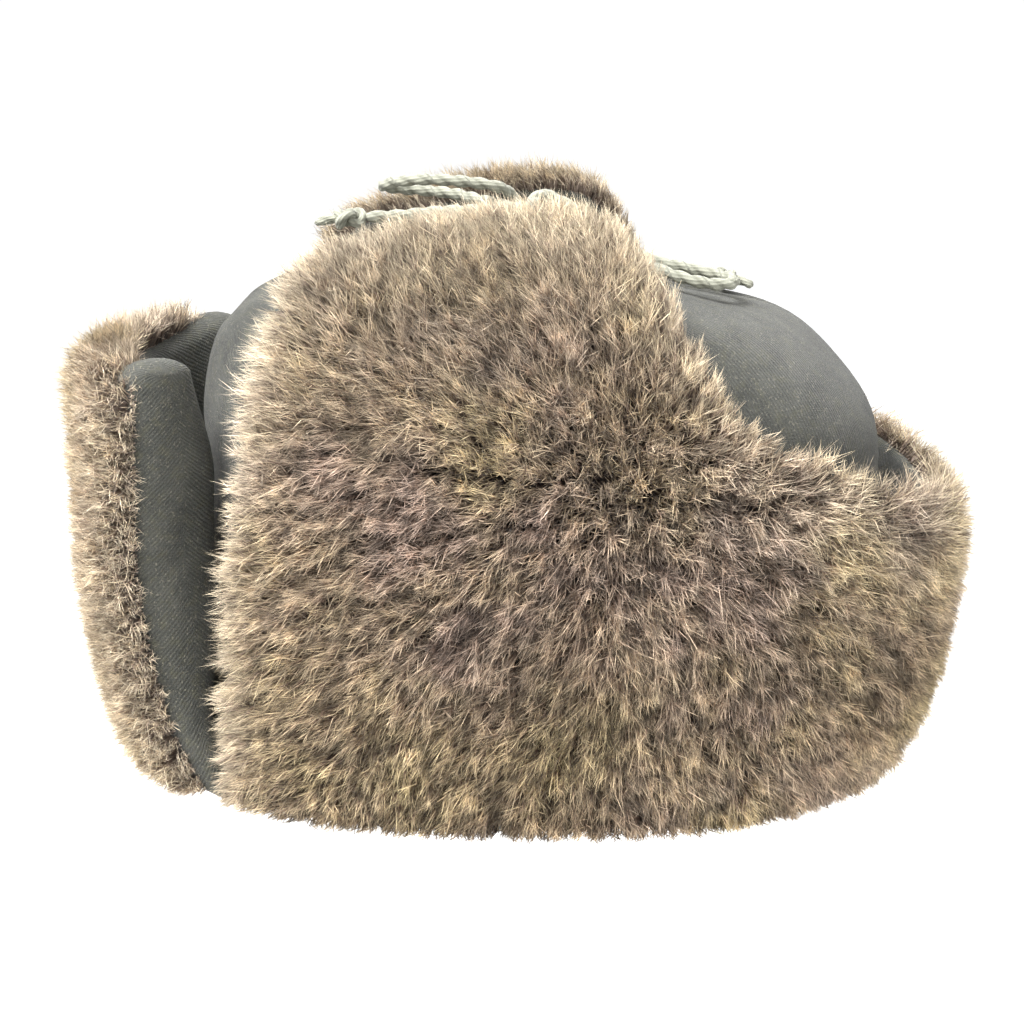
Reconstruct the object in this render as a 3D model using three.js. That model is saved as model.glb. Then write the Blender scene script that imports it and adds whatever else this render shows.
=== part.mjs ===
// Trapper hat: a four-gore crown of knitted cloth over wadding and a lining, a fur-faced visor at the
// front, and a fur-faced flap that runs from ear to ear round the nape. Visor and flap are folded up.
// The flap's two ends lie over the crown, where their tie cords are done up in a bow.
// Millimetres. +Z is up, -Y is the wearer's front and +X the wearer's left. The hat stands on z = 0.
import * as THREE from "three";
import { mergeVertices } from "three/addons/utils/BufferGeometryUtils.js";

// ---- Driving dimensions ----
const rimHalfWidth = 86; // crown's outer face at the head opening
const rimHalfLength = 99.5;
const rimMiddleY = 2.5; // places the middle of the whole hat at y = 0
const rimPower = 2.4; // 2 is an ellipse, more is squarer
const crownHeight = 167;
const rimTurn = 4; // height of the crown cloth's lower edge
const gap = 0.3; // between pieces that lie on each other
const seamGap = 0.5; // between two gores of a layer

const shellCloth = 1.5; // crown cloth
const crownWadding = 3;
const liningCloth = 1;
const flapCloth = 1.2;
const interlining = 2.2;
const visorPadding = 9;
const pile = 11; // fur, as the solid block that its pile fills
const pileRound = 13; // how far in from its edges the block is rounded
const edgeFullness = 0.2; // how much of its thickness is left at an edge
const paddingInset = 5; // from a flap's cut edge to the edge of what it is padded with

const tipLength = 194; // ear flap, from the fold to its tip
const napeLength = 88; // nape flap, from the fold to its edge
const napeFlare = 27; // how far the nape flap stands away from the crown's rim
const napeRoll = 28; // height over which it comes out
const earRoll = 3; // the same at the ears
const earLift = 3; // how far its tip stands off the crown
const earStandOff = 0.75; // share of the rim's curve that the ear flap's tip keeps straight
const earFrontLean = 16; // how far the ear flap's front edge leans back
const flapFront = -53; // degrees round the rim, from the left side towards the back
const napeStart = 35;
const neckStart = 64;
const seamAllowance = 1.2; // from a flap's cut edge to the seam between two lengths of flap
const napeDart = 8; // how much narrower each side is at its top, so that lengths close up when down
const earDart = 3;
const napeBlend = 12; // degrees before napeStart where the ear flap starts to turn into the nape flap
const napeRise = 0.96; // height gained for each unit of the nape flap's length
const levelUntil = 30; // length over which the layers' direction goes from level to square to the face
const bendLength = 126; // from the fold to the line where the ear flap bends over the crown
const tipEnd = 26; // degrees round the rim, where the part above that line ends
const bendGap = 0.6;

const visorLength = 128;
const visorFlare = 23.9;
const visorRoll = 40;
const visorSpread = 6; // how far each end widens towards the top
const visorRise = 0.97;
const visorCorner = 20; // radius of its two top corners
const cornerFullness = 0.9; // 1 would be a full quarter circle

const bandHeight = 24; // fur band inside the rim
const bandPile = 5;
const bandLow = 2.2; // its lower edge, clear of the folds' axes
const bandBevel = 2;

const cord = 4; // tie cord diameter
const stopper = 4.5; // radius of the knot at a cord's end
const tieAngle = 3; // degrees round the rim, where the flap's tip is
const tabWidth = 7; // tape tab that joins a cord to its flap
const tabLength = 6;
const tabThickness = 1.4;
const tabShows = 1.6; // how much of it stands out of the flap's edge
const labelHalfAngle = 9;
const labelLow = 48;
const labelHigh = 66;
const labelThickness = 0.8;

// ---- Colours ----
const knit = new THREE.MeshStandardMaterial({ color: 0x5f625d, roughness: 0.95 });
const fur = new THREE.MeshStandardMaterial({ color: 0x8f7d66, roughness: 0.9 });
const quilt = new THREE.MeshStandardMaterial({ color: 0x4a4d4c, roughness: 0.7 });
const felt = new THREE.MeshStandardMaterial({ color: 0xd6d2c8, roughness: 1 });
const cotton = new THREE.MeshStandardMaterial({ color: 0x9a9e92, roughness: 0.9 });
const woven = new THREE.MeshStandardMaterial({ color: 0xd9d6cc, roughness: 0.8 });

// ---- Small helpers ----
const radians = THREE.MathUtils.degToRad;
const mix = THREE.MathUtils.lerp;
const smooth = (x, from, to) => THREE.MathUtils.smoothstep(x, from, to);
const vector = (x, y, z) => new THREE.Vector3(x, y, z);

// How full a rounded edge is, this far in from it: least at the edge itself, 1 once the round is past.
function roundedEdge(distance, radius) {
  const inside = THREE.MathUtils.clamp(1 - distance / radius, 0, 1);
  return mix(edgeFullness, 1, Math.sqrt(1 - inside * inside));
}

// The unit normal of a surface given as point(a, b), by differences, facing away from the hat's middle.
function normalOf(point, a, b, stepA, stepB) {
  const along = point(a + stepA, b).sub(point(a - stepA, b));
  const up = point(a, b + stepB).sub(point(a, b - stepB));
  return along.cross(up).normalize();
}

// A closed solid between two sheets of points, each sheet(i, j) with i in 0..columns and j in 0..rows.
function between(outer, inner, columns, rows) {
  const positions = [];
  const triangle = (a, b, c) => {
    const sides = [a.distanceTo(b), b.distanceTo(c), c.distanceTo(a)];
    if (Math.min(...sides) > 1e-3) positions.push(...a.toArray(), ...b.toArray(), ...c.toArray());
  };
  const quad = (a, b, c, d) => {
    triangle(a, b, c);
    triangle(a, c, d);
  };
  const column = (sheet, i) => Array.from({ length: rows + 1 }, (_, j) => sheet(i, j));
  const grid = (sheet) => Array.from({ length: columns + 1 }, (_, i) => column(sheet, i));
  const out = grid(outer);
  const back = grid(inner);
  for (let i = 0; i < columns; i++)
    for (let j = 0; j < rows; j++) {
      quad(out[i][j], out[i + 1][j], out[i + 1][j + 1], out[i][j + 1]);
      quad(back[i][j], back[i][j + 1], back[i + 1][j + 1], back[i + 1][j]);
    }
  for (let i = 0; i < columns; i++) {
    quad(back[i][0], back[i + 1][0], out[i + 1][0], out[i][0]);
    quad(out[i][rows], out[i + 1][rows], back[i + 1][rows], back[i][rows]);
  }
  for (let j = 0; j < rows; j++) {
    quad(out[0][j], out[0][j + 1], back[0][j + 1], back[0][j]);
    quad(back[columns][j], back[columns][j + 1], out[columns][j + 1], out[columns][j]);
  }
  return closed(positions);
}

// A geometry from loose triangles, with its vertices merged and its faces turned to point out.
function closed(positions) {
  const loose = new THREE.BufferGeometry();
  loose.setAttribute("position", new THREE.Float32BufferAttribute(positions, 3));
  const merged = mergeVertices(loose, 1e-3);
  const index = merged.index.array;
  const corner = [vector(), vector(), vector()];
  let volume = 0;
  for (let i = 0; i < index.length; i += 3) {
    corner.forEach((p, k) => p.fromBufferAttribute(merged.attributes.position, index[i + k]));
    volume += corner[0].dot(corner[1].clone().cross(corner[2])) / 6;
  }
  for (let i = 0; volume < 0 && i < index.length; i += 3) {
    const second = index[i + 1];
    index[i + 1] = index[i + 2];
    index[i + 2] = second;
  }
  merged.computeVertexNormals();
  return merged;
}

function piece(name, geometry, material) {
  const mesh = new THREE.Mesh(geometry, material);
  mesh.name = name;
  return mesh;
}

// ---- Crown ----
// Each station is a height as a share of the crown's, and how far the cloth reaches to the front, the
// back and the side as shares of the rim's half length and half width.
const crownStations = [
  [0, 1, 1, 1],
  [0.27, 0.98, 1.05, 1.035],
  [0.51, 0.99, 1.12, 1.047],
  [0.67, 1.04, 1.09, 1],
  [0.8, 1, 0.9, 0.86],
  [0.86, 0.93, 0.61, 0.77],
  [0.905, 0.84, 0.36, 0.65],
  [0.958, 0.618, 0.16, 0.419],
  [0.991, 0.357, -0.02, 0.186],
  [1, 0.156, -0.156, 0],
];
const evenCurve = (points) => new THREE.CatmullRomCurve3(points, false, "catmullrom", 0.5);
const reaches = crownStations.map(([, front, back, side]) =>
  vector(front * rimHalfLength, back * rimHalfLength, side * rimHalfWidth),
);
const reachCurve = evenCurve(reaches);
const heightCurve = evenCurve(crownStations.map(([height]) => vector(0, 0, height * crownHeight)));

// The distance from an oval's middle to its edge, in the direction of an angle.
function ovalReach(angle, halfWidth, halfLength) {
  const across = Math.abs(Math.cos(angle)) / halfWidth;
  const along = Math.abs(Math.sin(angle)) / halfLength;
  return (across ** rimPower + along ** rimPower) ** (-1 / rimPower);
}

// The crown cloth's outer face. The angle is from the left side towards the back, and climb is 0 at the
// rim's plane and 1 at the top.
function crownFace(angle, share) {
  const climb = THREE.MathUtils.clamp(share, 0, 1);
  const { x: front, y: back, z: side } = reachCurve.getPoint(climb);
  const height = heightCurve.getPoint(climb).z;
  const middle = rimMiddleY + (back - front) / 2;
  const reach = ovalReach(angle, Math.max(side, 0.01), Math.max((front + back) / 2, 0.01));
  const edge = climb >= 1 ? 0 : reach;
  return vector(edge * Math.cos(angle), middle + edge * Math.sin(angle), height);
}

function climbAt(height) {
  let low = 0;
  let high = 1;
  for (let n = 0; n < 30; n++) {
    const middle = (low + high) / 2;
    if (heightCurve.getPoint(middle).z < height) low = middle;
    else high = middle;
  }
  return low;
}

// The same face moved inwards. At the top its normal is straight up.
function insideCrown(angle, climb, depth) {
  const normal = climb > 0.985 ? vector(0, 0, 1) : normalOf(crownFace, angle, climb, 0.01, 0.004);
  return crownFace(angle, climb).addScaledVector(normal, -depth);
}

// The lower edge of a crown layer. It is level, whatever the layer's depth.
const layerFoot = (angle, depth) => insideCrown(angle, climbAt(rimTurn), depth).setZ(rimTurn);

// One quarter of one layer of the crown, kept half a gap clear of the seams at its two sides.
const goreColumns = 7;
const goreRows = 10;

function gore(quarter, depth, thickness) {
  const [columns, rows] = [goreColumns, goreRows];
  const from = (quarter * Math.PI) / 2;
  const bottom = climbAt(rimTurn);
  const middle = from + Math.PI / 4;
  const sideways = vector(Math.sign(Math.cos(middle)), Math.sign(Math.sin(middle)), 0);
  sideways.multiplyScalar(seamGap / 2);
  const at = (i, j, deep) => {
    const angle = from + ((i / columns) * Math.PI) / 2;
    const face = j === 0 ? layerFoot(angle, deep) : insideCrown(angle, mix(bottom, 1, j / rows), deep);
    return face.add(sideways);
  };
  return between(
    (i, j) => at(i, j, depth),
    (i, j) => at(i, j, depth + thickness),
    columns,
    rows,
  );
}

const quarterNames = ["rear_left", "rear_right", "front_right", "front_left"];
const waddingDepth = shellCloth + gap;
const liningDepth = waddingDepth + crownWadding + gap;
const bandDepth = liningDepth + liningCloth + gap;

function crown() {
  const group = new THREE.Group();
  quarterNames.forEach((name, quarter) => {
    group.add(piece("crown_gore_" + name, gore(quarter, 0, shellCloth), knit));
    group.add(piece("crown_wadding_" + name, gore(quarter, waddingDepth, crownWadding), felt));
    group.add(piece("lining_gore_" + name, gore(quarter, liningDepth, liningCloth), quilt));
  });
  return group;
}

// A point at this height on the lowest facets of a crown layer, which reach from the rim to the first row.
function onLowestFacet(angle, height, depth) {
  const low = layerFoot(angle, depth);
  const high = insideCrown(angle, mix(climbAt(rimTurn), 1, 1 / goreRows), depth);
  return low.lerp(high, (height - low.z) / (high.z - low.z));
}

// The fur band lies inside the rim against the lining's lowest facets, and its lower edge turns out under
// the crown's layers.
function rimFurBand() {
  const lip = rimTurn - gap;
  const inner = bandDepth + bandPile;
  const section = [
    [gap, bandLow],
    [inner - bandBevel, bandLow],
    [inner, bandLow + bandBevel],
    [inner, bandHeight - bandBevel - 1],
    [inner - bandBevel, bandHeight],
    [bandDepth, bandHeight],
    [bandDepth, lip],
    [gap, lip],
  ];
  const columns = 4 * goreColumns;
  const ring = Array.from({ length: columns }, (_, i) =>
    section.map(([depth, height]) => {
      const foot = onLowestFacet((i / columns) * 2 * Math.PI, height, depth);
      return vector(foot.x, foot.y, height);
    }),
  );
  const positions = [];
  ring.forEach((points, i) => {
    const next = ring[(i + 1) % columns];
    points.forEach((a, k) => {
      const b = next[k];
      const c = next[(k + 1) % section.length];
      const d = points[(k + 1) % section.length];
      for (const p of [a, b, c, a, c, d]) positions.push(...p.toArray());
    });
  });
  return piece("rim_fur_band", closed(positions), fur);
}

// A blank woven label on the lining at the back.
function label() {
  const columns = 4;
  const rows = 2;
  const face = (i, j, depth) => {
    const angle = Math.PI / 2 + radians(mix(-labelHalfAngle, labelHalfAngle, i / columns));
    return insideCrown(angle, climbAt(mix(labelLow, labelHigh, j / rows)), depth);
  };
  const depth = liningDepth + liningCloth + 3 * gap;
  return piece(
    "blank_label",
    between(
      (i, j) => face(i, j, depth),
      (i, j) => face(i, j, depth + labelThickness),
      columns,
      rows,
    ),
    woven,
  );
}

// ---- Flap and visor ----
// The crown's side seen from the front, as a line that the ear flap lies along, measured from the fold.
const sideSteps = 121;
const sideLine = Array.from({ length: sideSteps }, (_, n) => crownFace(0, n / sideSteps));
const sideReach = [0];
for (let n = 1; n < sideSteps; n++) {
  sideReach[n] = sideReach[n - 1] + sideLine[n].distanceTo(sideLine[n - 1]);
}

function alongSide(length) {
  const next = Math.max(1, sideReach.findIndex((reach) => reach >= length));
  const share = (length - sideReach[next - 1]) / (sideReach[next] - sideReach[next - 1]);
  return sideLine[next - 1].clone().lerp(sideLine[next], share);
}

// A point of the fold, just outside the crown's rim.
function foldPoint(angle) {
  const reach = ovalReach(angle, rimHalfWidth + gap * 2, rimHalfLength + gap * 2);
  return vector(reach * Math.cos(angle), rimMiddleY + reach * Math.sin(angle), 0);
}

const foldOut = (angle) => normalOf((a, z) => foldPoint(a).setZ(z), angle, 0, 0.02, 1);

// The ear flap's inner face: it lies along the crown's side, and is straighter at its tip than the rim.
function earFace(angle, length) {
  const foot = foldPoint(angle);
  const side = alongSide(length);
  const away = (rimHalfWidth + gap * 2 - foot.x) * earStandOff * smooth(length, 0, tipLength);
  const roll = earRoll * (1 - Math.exp(-length / (napeRoll / 2)));
  const front = THREE.MathUtils.clamp(-angle / radians(-flapFront), 0, 1);
  return vector(
    foot.x + side.x - rimHalfWidth + away + roll,
    foot.y + (earFrontLean * front * length) / tipLength,
    side.z + earLift * smooth(length, tipLength / 2, tipLength),
  );
}

// The nape flap's inner face: it comes out round a soft fold and then stands up.
function napeFace(angle, length) {
  const out = foldOut(angle);
  const reach = napeFlare * (1 - Math.exp(-length / napeRoll));
  return foldPoint(angle).addScaledVector(out, reach).setZ(length * napeRise);
}

// The whole flap's inner face. Past the middle of the back it is mirrored.
function flapFace(angle, length) {
  if (angle > Math.PI / 2) return flapFace(Math.PI - angle, length).multiply(vector(-1, 1, 1));
  const nape = smooth(angle, radians(napeStart - napeBlend), radians(neckStart));
  return earFace(angle, length).lerp(napeFace(angle, length), nape);
}

// The flap's cut edge: degrees round the rim, and length from the fold.
const flapEdge = new THREE.SplineCurve(
  [
    [flapFront - 4, tipLength - 40],
    [flapFront, tipLength - 35],
    [-46, tipLength - 26],
    [-33, tipLength - 20],
    [-15, tipLength - 8],
    [3, tipLength],
    [13, tipLength - 4],
    [19, tipLength - 20],
    [24, tipLength - 42],
    [29, tipLength - 60],
    [napeStart, napeLength + 29],
    [47, napeLength + 15],
    [neckStart, napeLength + 3],
    [90, napeLength],
    [100, napeLength],
  ].map(([degrees, length]) => new THREE.Vector2(degrees, length)),
);
const edgeSteps = 300;
const flapEdgePoints = flapEdge.getPoints(edgeSteps);

function flapLength(angle) {
  const degrees = THREE.MathUtils.radToDeg(angle > Math.PI / 2 ? Math.PI - angle : angle);
  const next = Math.max(1, flapEdgePoints.findIndex((p) => p.x >= degrees));
  const [a, b] = [flapEdgePoints[next - 1], flapEdgePoints[next]];
  return mix(a.y, b.y, THREE.MathUtils.clamp((degrees - a.x) / (b.x - a.x), 0, 1));
}

// The visor's inner face, and its length with the two top corners rounded.
function visorFace(angle, length) {
  const foot = foldPoint(angle);
  const rise = length / visorLength;
  const reach = visorFlare * (1 - Math.exp(-length / visorRoll));
  const spread = (visorSpread * rise * foot.x) / rimHalfWidth;
  return vector(foot.x + spread, foot.y - reach, length * visorRise);
}

function visorLengthAt(angle) {
  const half = Math.abs(foldPoint(radians(flapFront)).x);
  const fromEnd = Math.max(0, half - Math.abs(foldPoint(angle).x));
  const short = Math.max(0, 1 - fromEnd / visorCorner);
  return visorLength - visorCorner * (1 - Math.sqrt(1 - short * short * cornerFullness));
}

// The grid that every layer of a patch of flap shares. Its first and last lines lie on the seam, the
// next ones where the padding ends, and the rest are evenly spaced.
function gridShares(steps, edge) {
  const inner = Array.from({ length: steps - 1 }, (_, n) => mix(edge, 1 - edge, n / (steps - 2)));
  return [0, ...inner, 1];
}

// A layer of a patch of flap. The patch runs between two angles and two lengths from the fold. The
// layer's inner face is `from` off the cloth's inner face. Fur is thinner towards its rounded edges, and
// padding stops a grid line short.
function layer(patch, { from, thickness, padding, rounded }) {
  const { face, start, end, low, high, columns, rows, dart = 0 } = patch;
  const turn = foldPoint(end).distanceTo(foldPoint(start));
  const acrossShares = gridShares(columns, paddingInset / turn);
  const skip = padding ? 1 : 0;
  const at = (column, row, share) => {
    const across = acrossShares[column];
    const around = mix(start, end, across);
    const [bottom, top] = [low(around), high(around) - seamAllowance];
    const length = mix(bottom, top, gridShares(rows, paddingInset / (top - bottom))[row]);
    const seam = (seamAllowance + dart * (length / napeLength)) * ((end - start) / turn);
    const angle = mix(start + seam, end - seam, across);
    const fromSide = Math.min(across, 1 - across) * turn;
    const fromEdges = [fromSide, patch.bends === "top" ? pileRound : top - length];
    if (patch.bends !== "bottom") fromEdges.push(length);
    const full = rounded ? Math.min(...fromEdges.map((distance) => roundedEdge(distance, pileRound))) : 1;
    const normal = normalOf(face, angle, Math.max(length, 1), 0.01, 0.5);
    const direction = normal.clone().setZ(0).normalize();
    direction.lerp(normal, smooth(length, 0, levelUntil)).normalize();
    return face(angle, length).addScaledVector(direction, from + share * thickness * full);
  };
  return between(
    (i, j) => at(i + skip, j + skip, 1),
    (i, j) => at(i + skip, j + skip, 0),
    columns - 2 * skip,
    rows - 2 * skip,
  );
}

// The three layers of a patch, from the crown outwards.
function layers(name, patch, paddingThickness) {
  const group = new THREE.Group();
  const furFrom = flapCloth + paddingThickness + 2 * gap;
  const cloth = { from: 0, thickness: flapCloth };
  const padded = { from: flapCloth + gap, thickness: paddingThickness, padding: true };
  const furred = { from: furFrom, thickness: pile, rounded: true };
  group.add(piece(name + "_cloth", layer(patch, cloth), knit));
  group.add(piece(name + "_padding", layer(patch, padded), felt));
  group.add(piece(name + "_fur", layer(patch, furred), fur));
  return group;
}

// The flap in its lengths from the left ear round the nape: name, first and last angle in degrees, and
// how many columns and rows of facets. The right side is a mirror of the left.
const flapLengths = [
  { name: "left_ear", start: flapFront, end: napeStart, columns: 10, rows: 7, bends: "top", dart: earDart },
  { name: "left_ear_tip", start: flapFront, end: tipEnd, columns: 9, rows: 5, bends: "bottom" },
  { name: "left_nape", start: napeStart, end: neckStart, columns: 5, rows: 7, dart: napeDart },
  { name: "neck", start: neckStart, end: 180 - neckStart, columns: 7, rows: 6, dart: napeDart },
];

function lowerEdge(angle) {
  const degrees = THREE.MathUtils.radToDeg(angle > Math.PI / 2 ? Math.PI - angle : angle);
  return degrees < tipEnd ? Math.min(bendLength, flapLength(angle)) : flapLength(angle);
}

function flap() {
  const group = new THREE.Group();
  for (const { name, start, end, ...rest } of flapLengths) {
    const sizes = {
      face: flapFace,
      low: () => (rest.bends === "bottom" ? bendLength + bendGap - seamAllowance : 0),
      high: rest.bends === "top" ? lowerEdge : flapLength,
      ...rest,
    };
    group.add(layers(name, { ...sizes, start: radians(start), end: radians(end) }, interlining));
    if (name !== "neck") {
      const mirrored = { ...sizes, start: radians(180 - end), end: radians(180 - start) };
      group.add(layers(name.replace("left", "right"), mirrored, interlining));
    }
  }
  return group;
}

function visor() {
  const patch = {
    face: visorFace,
    start: radians(-180 - flapFront),
    end: radians(flapFront),
    low: () => 0,
    high: visorLengthAt,
    columns: 10,
    rows: 8,
  };
  return layers("visor", patch, visorPadding);
}

// ---- Ties ----
// Each tie leaves its ear flap's tip, makes one loop of the bow and ends in a stopper knot. The left
// tie's loop points back and its end forwards; the right tie's the other way.
const leftRoute = [
  [36.8, 3, 163.2],
  [31, 3.5, 166.2],
  [25, 4.5, 169.4],
  [18, 6, 173],
  [11.5, 10, 175],
  [8.4, 20, 170],
  [8, 31, 161.5],
  [8, 41, 155.8],
  [8.6, 52, 153],
  [10, 61, 151.2],
  [14, 67, 149.8],
  [20, 66.5, 149],
  [23.5, 60, 149.2],
  [22.5, 50, 151.4],
  [18, 36, 156.5],
  [12.5, 22, 163],
  [9, 10, 168.2],
  [8.4, 0, 169.8],
  [8.4, -10, 170.2],
  [9, -22, 169.8],
  [11, -34, 168.8],
  [13, -45, 168.4],
];
const rightRoute = [
  [-36.8, 3, 163.2],
  [-31, 2.5, 166.2],
  [-25, 1.5, 169.2],
  [-18, 0, 173],
  [-10.5, -4, 176.2],
  [-8.3, -14, 178],
  [-8.6, -26, 178.8],
  [-11, -36, 178],
  [-17, -41, 176.6],
  [-23, -38, 175.4],
  [-25, -29, 174.6],
  [-21, -18, 173.6],
  [-14, -8, 171.6],
  [-9, 3, 169.4],
  [-7, 14, 166],
  [-6, 26, 160.4],
  [-5.2, 38, 154.8],
  [-4.6, 50, 150.8],
  [-4.2, 61, 149.2],
];
const cordSection = new THREE.Shape(
  Array.from({ length: 8 }, (_, n) => {
    const angle = (n / 8) * 2 * Math.PI;
    return new THREE.Vector2(Math.cos(angle), Math.sin(angle)).multiplyScalar(cord / 2);
  }),
);

function tie(side, route) {
  const group = new THREE.Group();
  const line = new THREE.CatmullRomCurve3(route.map((p) => vector(...p)));
  const along = { steps: 56, bevelEnabled: false, extrudePath: line };
  const tube = new THREE.ExtrudeGeometry(cordSection, along);
  tube.deleteAttribute("normal");
  tube.deleteAttribute("uv");
  group.add(piece("tie_" + side, mergeVertices(tube, 1e-3), cotton));

  const end = line.getPoint(1);
  const forward = line.getTangent(1);
  const knot = new THREE.SphereGeometry(stopper, 10, 7);
  const ball = piece("stopper_knot_" + side, knot, cotton);
  ball.position.copy(end).addScaledVector(forward, stopper + gap);
  group.add(ball);
  return group;
}

// A short tape tab between the cloth and the fur of the flap's tip, where the cord is sewn on.
function tieTab(side, middle) {
  const tip = flapLength(middle) - seamAllowance;
  const halfTurn = tabWidth / 2 / foldPoint(middle).distanceTo(foldPoint(middle + 0.01)) / 100;
  const at = (i, j, depth) => {
    const angle = mix(middle - halfTurn, middle + halfTurn, i);
    const length = tip + tabShows - tabLength * (1 - j);
    const normal = normalOf(flapFace, angle, length, 0.01, 0.5);
    return flapFace(angle, length).addScaledVector(normal, depth);
  };
  const depth = flapCloth + gap;
  const geometry = between(
    (i, j) => at(i, j, depth + tabThickness),
    (i, j) => at(i, j, depth),
    1,
    1,
  );
  return piece("tie_tab_" + side, geometry, cotton);
}

// ---- Assembly ----
const hat = new THREE.Group();
hat.add(crown(), rimFurBand(), label(), visor(), flap());
hat.add(tie("left", leftRoute), tieTab("left", radians(tieAngle)));
hat.add(tie("right", rightRoute), tieTab("right", radians(180 - tieAngle)));
export default hat;
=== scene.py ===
"""A trapper hat: knitted four-gore crown, fur visor and a fur flap tied up over the crown.

Metres. +Z is up, -Y is the wearer's front and +X the wearer's left. The hat stands on z = 0.
Surfaces are laid out by an angle round the rim, from the left side towards the back, and a
length from the fold at the rim, or a climb up the crown from 0 at the rim to 1 at the top.
"""

import math
from functools import partial

import bmesh
import bpy
import numpy as np
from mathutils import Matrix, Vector
from mathutils.kdtree import KDTree


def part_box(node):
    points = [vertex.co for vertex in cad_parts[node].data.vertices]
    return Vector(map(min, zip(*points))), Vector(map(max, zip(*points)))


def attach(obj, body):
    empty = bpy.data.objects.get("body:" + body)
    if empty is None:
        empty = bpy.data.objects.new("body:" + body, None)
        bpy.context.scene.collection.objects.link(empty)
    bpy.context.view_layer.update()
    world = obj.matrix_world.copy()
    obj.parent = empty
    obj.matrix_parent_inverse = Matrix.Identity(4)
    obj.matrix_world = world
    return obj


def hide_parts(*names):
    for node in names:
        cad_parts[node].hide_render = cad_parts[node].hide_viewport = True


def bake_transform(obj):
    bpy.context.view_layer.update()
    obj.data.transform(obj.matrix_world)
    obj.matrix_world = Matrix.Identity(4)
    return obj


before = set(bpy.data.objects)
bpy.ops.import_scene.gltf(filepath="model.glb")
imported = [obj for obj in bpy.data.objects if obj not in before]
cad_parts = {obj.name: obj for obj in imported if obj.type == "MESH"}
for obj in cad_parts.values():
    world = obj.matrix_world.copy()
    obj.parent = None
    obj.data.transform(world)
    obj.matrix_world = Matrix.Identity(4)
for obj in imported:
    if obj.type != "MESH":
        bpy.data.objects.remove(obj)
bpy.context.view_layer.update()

# ---- Sizes, as in the part ----
rim_half_width = 0.086
rim_half_length = 0.0995
rim_middle_y = 0.0025
rim_power = 2.4
crown_height = 0.167
rim_turn = 0.004
gap = 0.0003
shell_cloth = 0.0015
crown_wadding = 0.003
lining_cloth = 0.001
flap_cloth = 0.0012
interlining = 0.0022
visor_padding = 0.009
tip_length = 0.194
nape_length = 0.088
nape_flare = 0.027
nape_roll = 0.028
nape_rise = 0.96
ear_roll = 0.003
ear_lift = 0.003
ear_stand_off = 0.75
ear_front_lean = 0.016
flap_front = math.radians(-53)
nape_start = math.radians(35)
nape_blend = math.radians(12)
neck_start = math.radians(64)
tip_end = math.radians(26)
bend_length = 0.126
level_until = 0.03
visor_length = 0.128
visor_flare = 0.0239
visor_roll = 0.04
visor_spread = 0.006
visor_rise = 0.97
visor_corner = 0.02
corner_fullness = 0.9
cord_diameter = 0.004

# ---- Sizes of the finish ----
fur_from = 0.0052  # from the flap's inner face to the fur's backing
visor_fur_from = 0.0115
fur_turn = 0.009  # how far in from an edge the backing starts to turn towards the cloth
visor_hem = 0.0045  # cloth shown on the visor's outer face at each end
pile_length = 0.0118
visor_pile = 0.0108
visor_cloth_corner = 0.007
visor_cloth_rise = 0.0085  # how much higher the visor's cloth stands at its ends
visor_end_swell = 0.0165
visor_set_back = 0.0045  # how far the visor's top edge sinks back over the crown's sunk front
near_tip_lift = 0.0045
nape_corner_lift = 0.007
crown_slump = 0.0058  # how far the soft front of the crown sinks in above the brow
far_tip_lift = 0.008  # the right tip lies over the crown a little higher than the left
flap_tufts = 150000.0  # tufts per square metre
band_tufts = 90000.0
pile_lowest = 0.0002  # the pile lies flat here where it meets what the hat stands on
front_trim = 0.105  # how far the flap's front edge draws back towards its tip, in radians
band_pile = 0.007
band_thinness = 0.6  # the band inside the rim has this share of the flap's strands
knit_rib = 0.0012
cord_twist = 0.0115  # length of one full turn of the two plies
quilt_pitch = 0.026
quilt_puff = 0.0016
crown_puff = 0.0022  # most that the crown's cloth may swell

# ---- Curves and surfaces ----
crown_stations = [
    (0, 1, 1, 1),
    (0.27, 0.98, 1.05, 1.035),
    (0.51, 0.99, 1.12, 1.047),
    (0.67, 1.04, 1.09, 1),
    (0.8, 1, 0.9, 0.86),
    (0.86, 0.93, 0.61, 0.77),
    (0.905, 0.84, 0.36, 0.65),
    (0.958, 0.618, 0.16, 0.419),
    (0.991, 0.357, -0.02, 0.186),
    (1, 0.156, -0.156, 0),
]
flap_edge_points = [
    (-57, tip_length - 0.040),
    (-53, tip_length - 0.035),
    (-46, tip_length - 0.026),
    (-33, tip_length - 0.020),
    (-15, tip_length - 0.008),
    (3, tip_length),
    (13, tip_length - 0.004),
    (19, tip_length - 0.020),
    (24, tip_length - 0.042),
    (29, tip_length - 0.060),
    (35, nape_length + 0.029),
    (47, nape_length + 0.015),
    (64, nape_length + 0.003),
    (90, nape_length),
    (100, nape_length),
]


def along_curve(points, share):
    """Points of an even Catmull-Rom curve, at shares of its length from 0 to 1."""
    points = np.asarray(points, float)
    ends = (2 * points[0] - points[1], 2 * points[-1] - points[-2])
    held = np.vstack([ends[0], points, ends[1]])
    place = np.clip(share, 0, 1) * (len(points) - 1)
    n = np.minimum(place.astype(int), len(points) - 2)
    w = (place - n)[..., None]
    a, b, c, d = held[n], held[n + 1], held[n + 2], held[n + 3]
    cubic = (2 * a - 5 * b + 4 * c - d) * w**2 + (3 * b - a - 3 * c + d) * w**3
    return 0.5 * (2 * b + (c - a) * w + cubic)


def smoothstep(x, start, end):
    t = np.clip((x - start) / (end - start), 0, 1)
    return t * t * (3 - 2 * t)


def normalised(v):
    return v / np.maximum(np.linalg.norm(v, axis=-1, keepdims=True), 1e-12)


def mixed(a, b, share):
    return a + (b - a) * share


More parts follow.
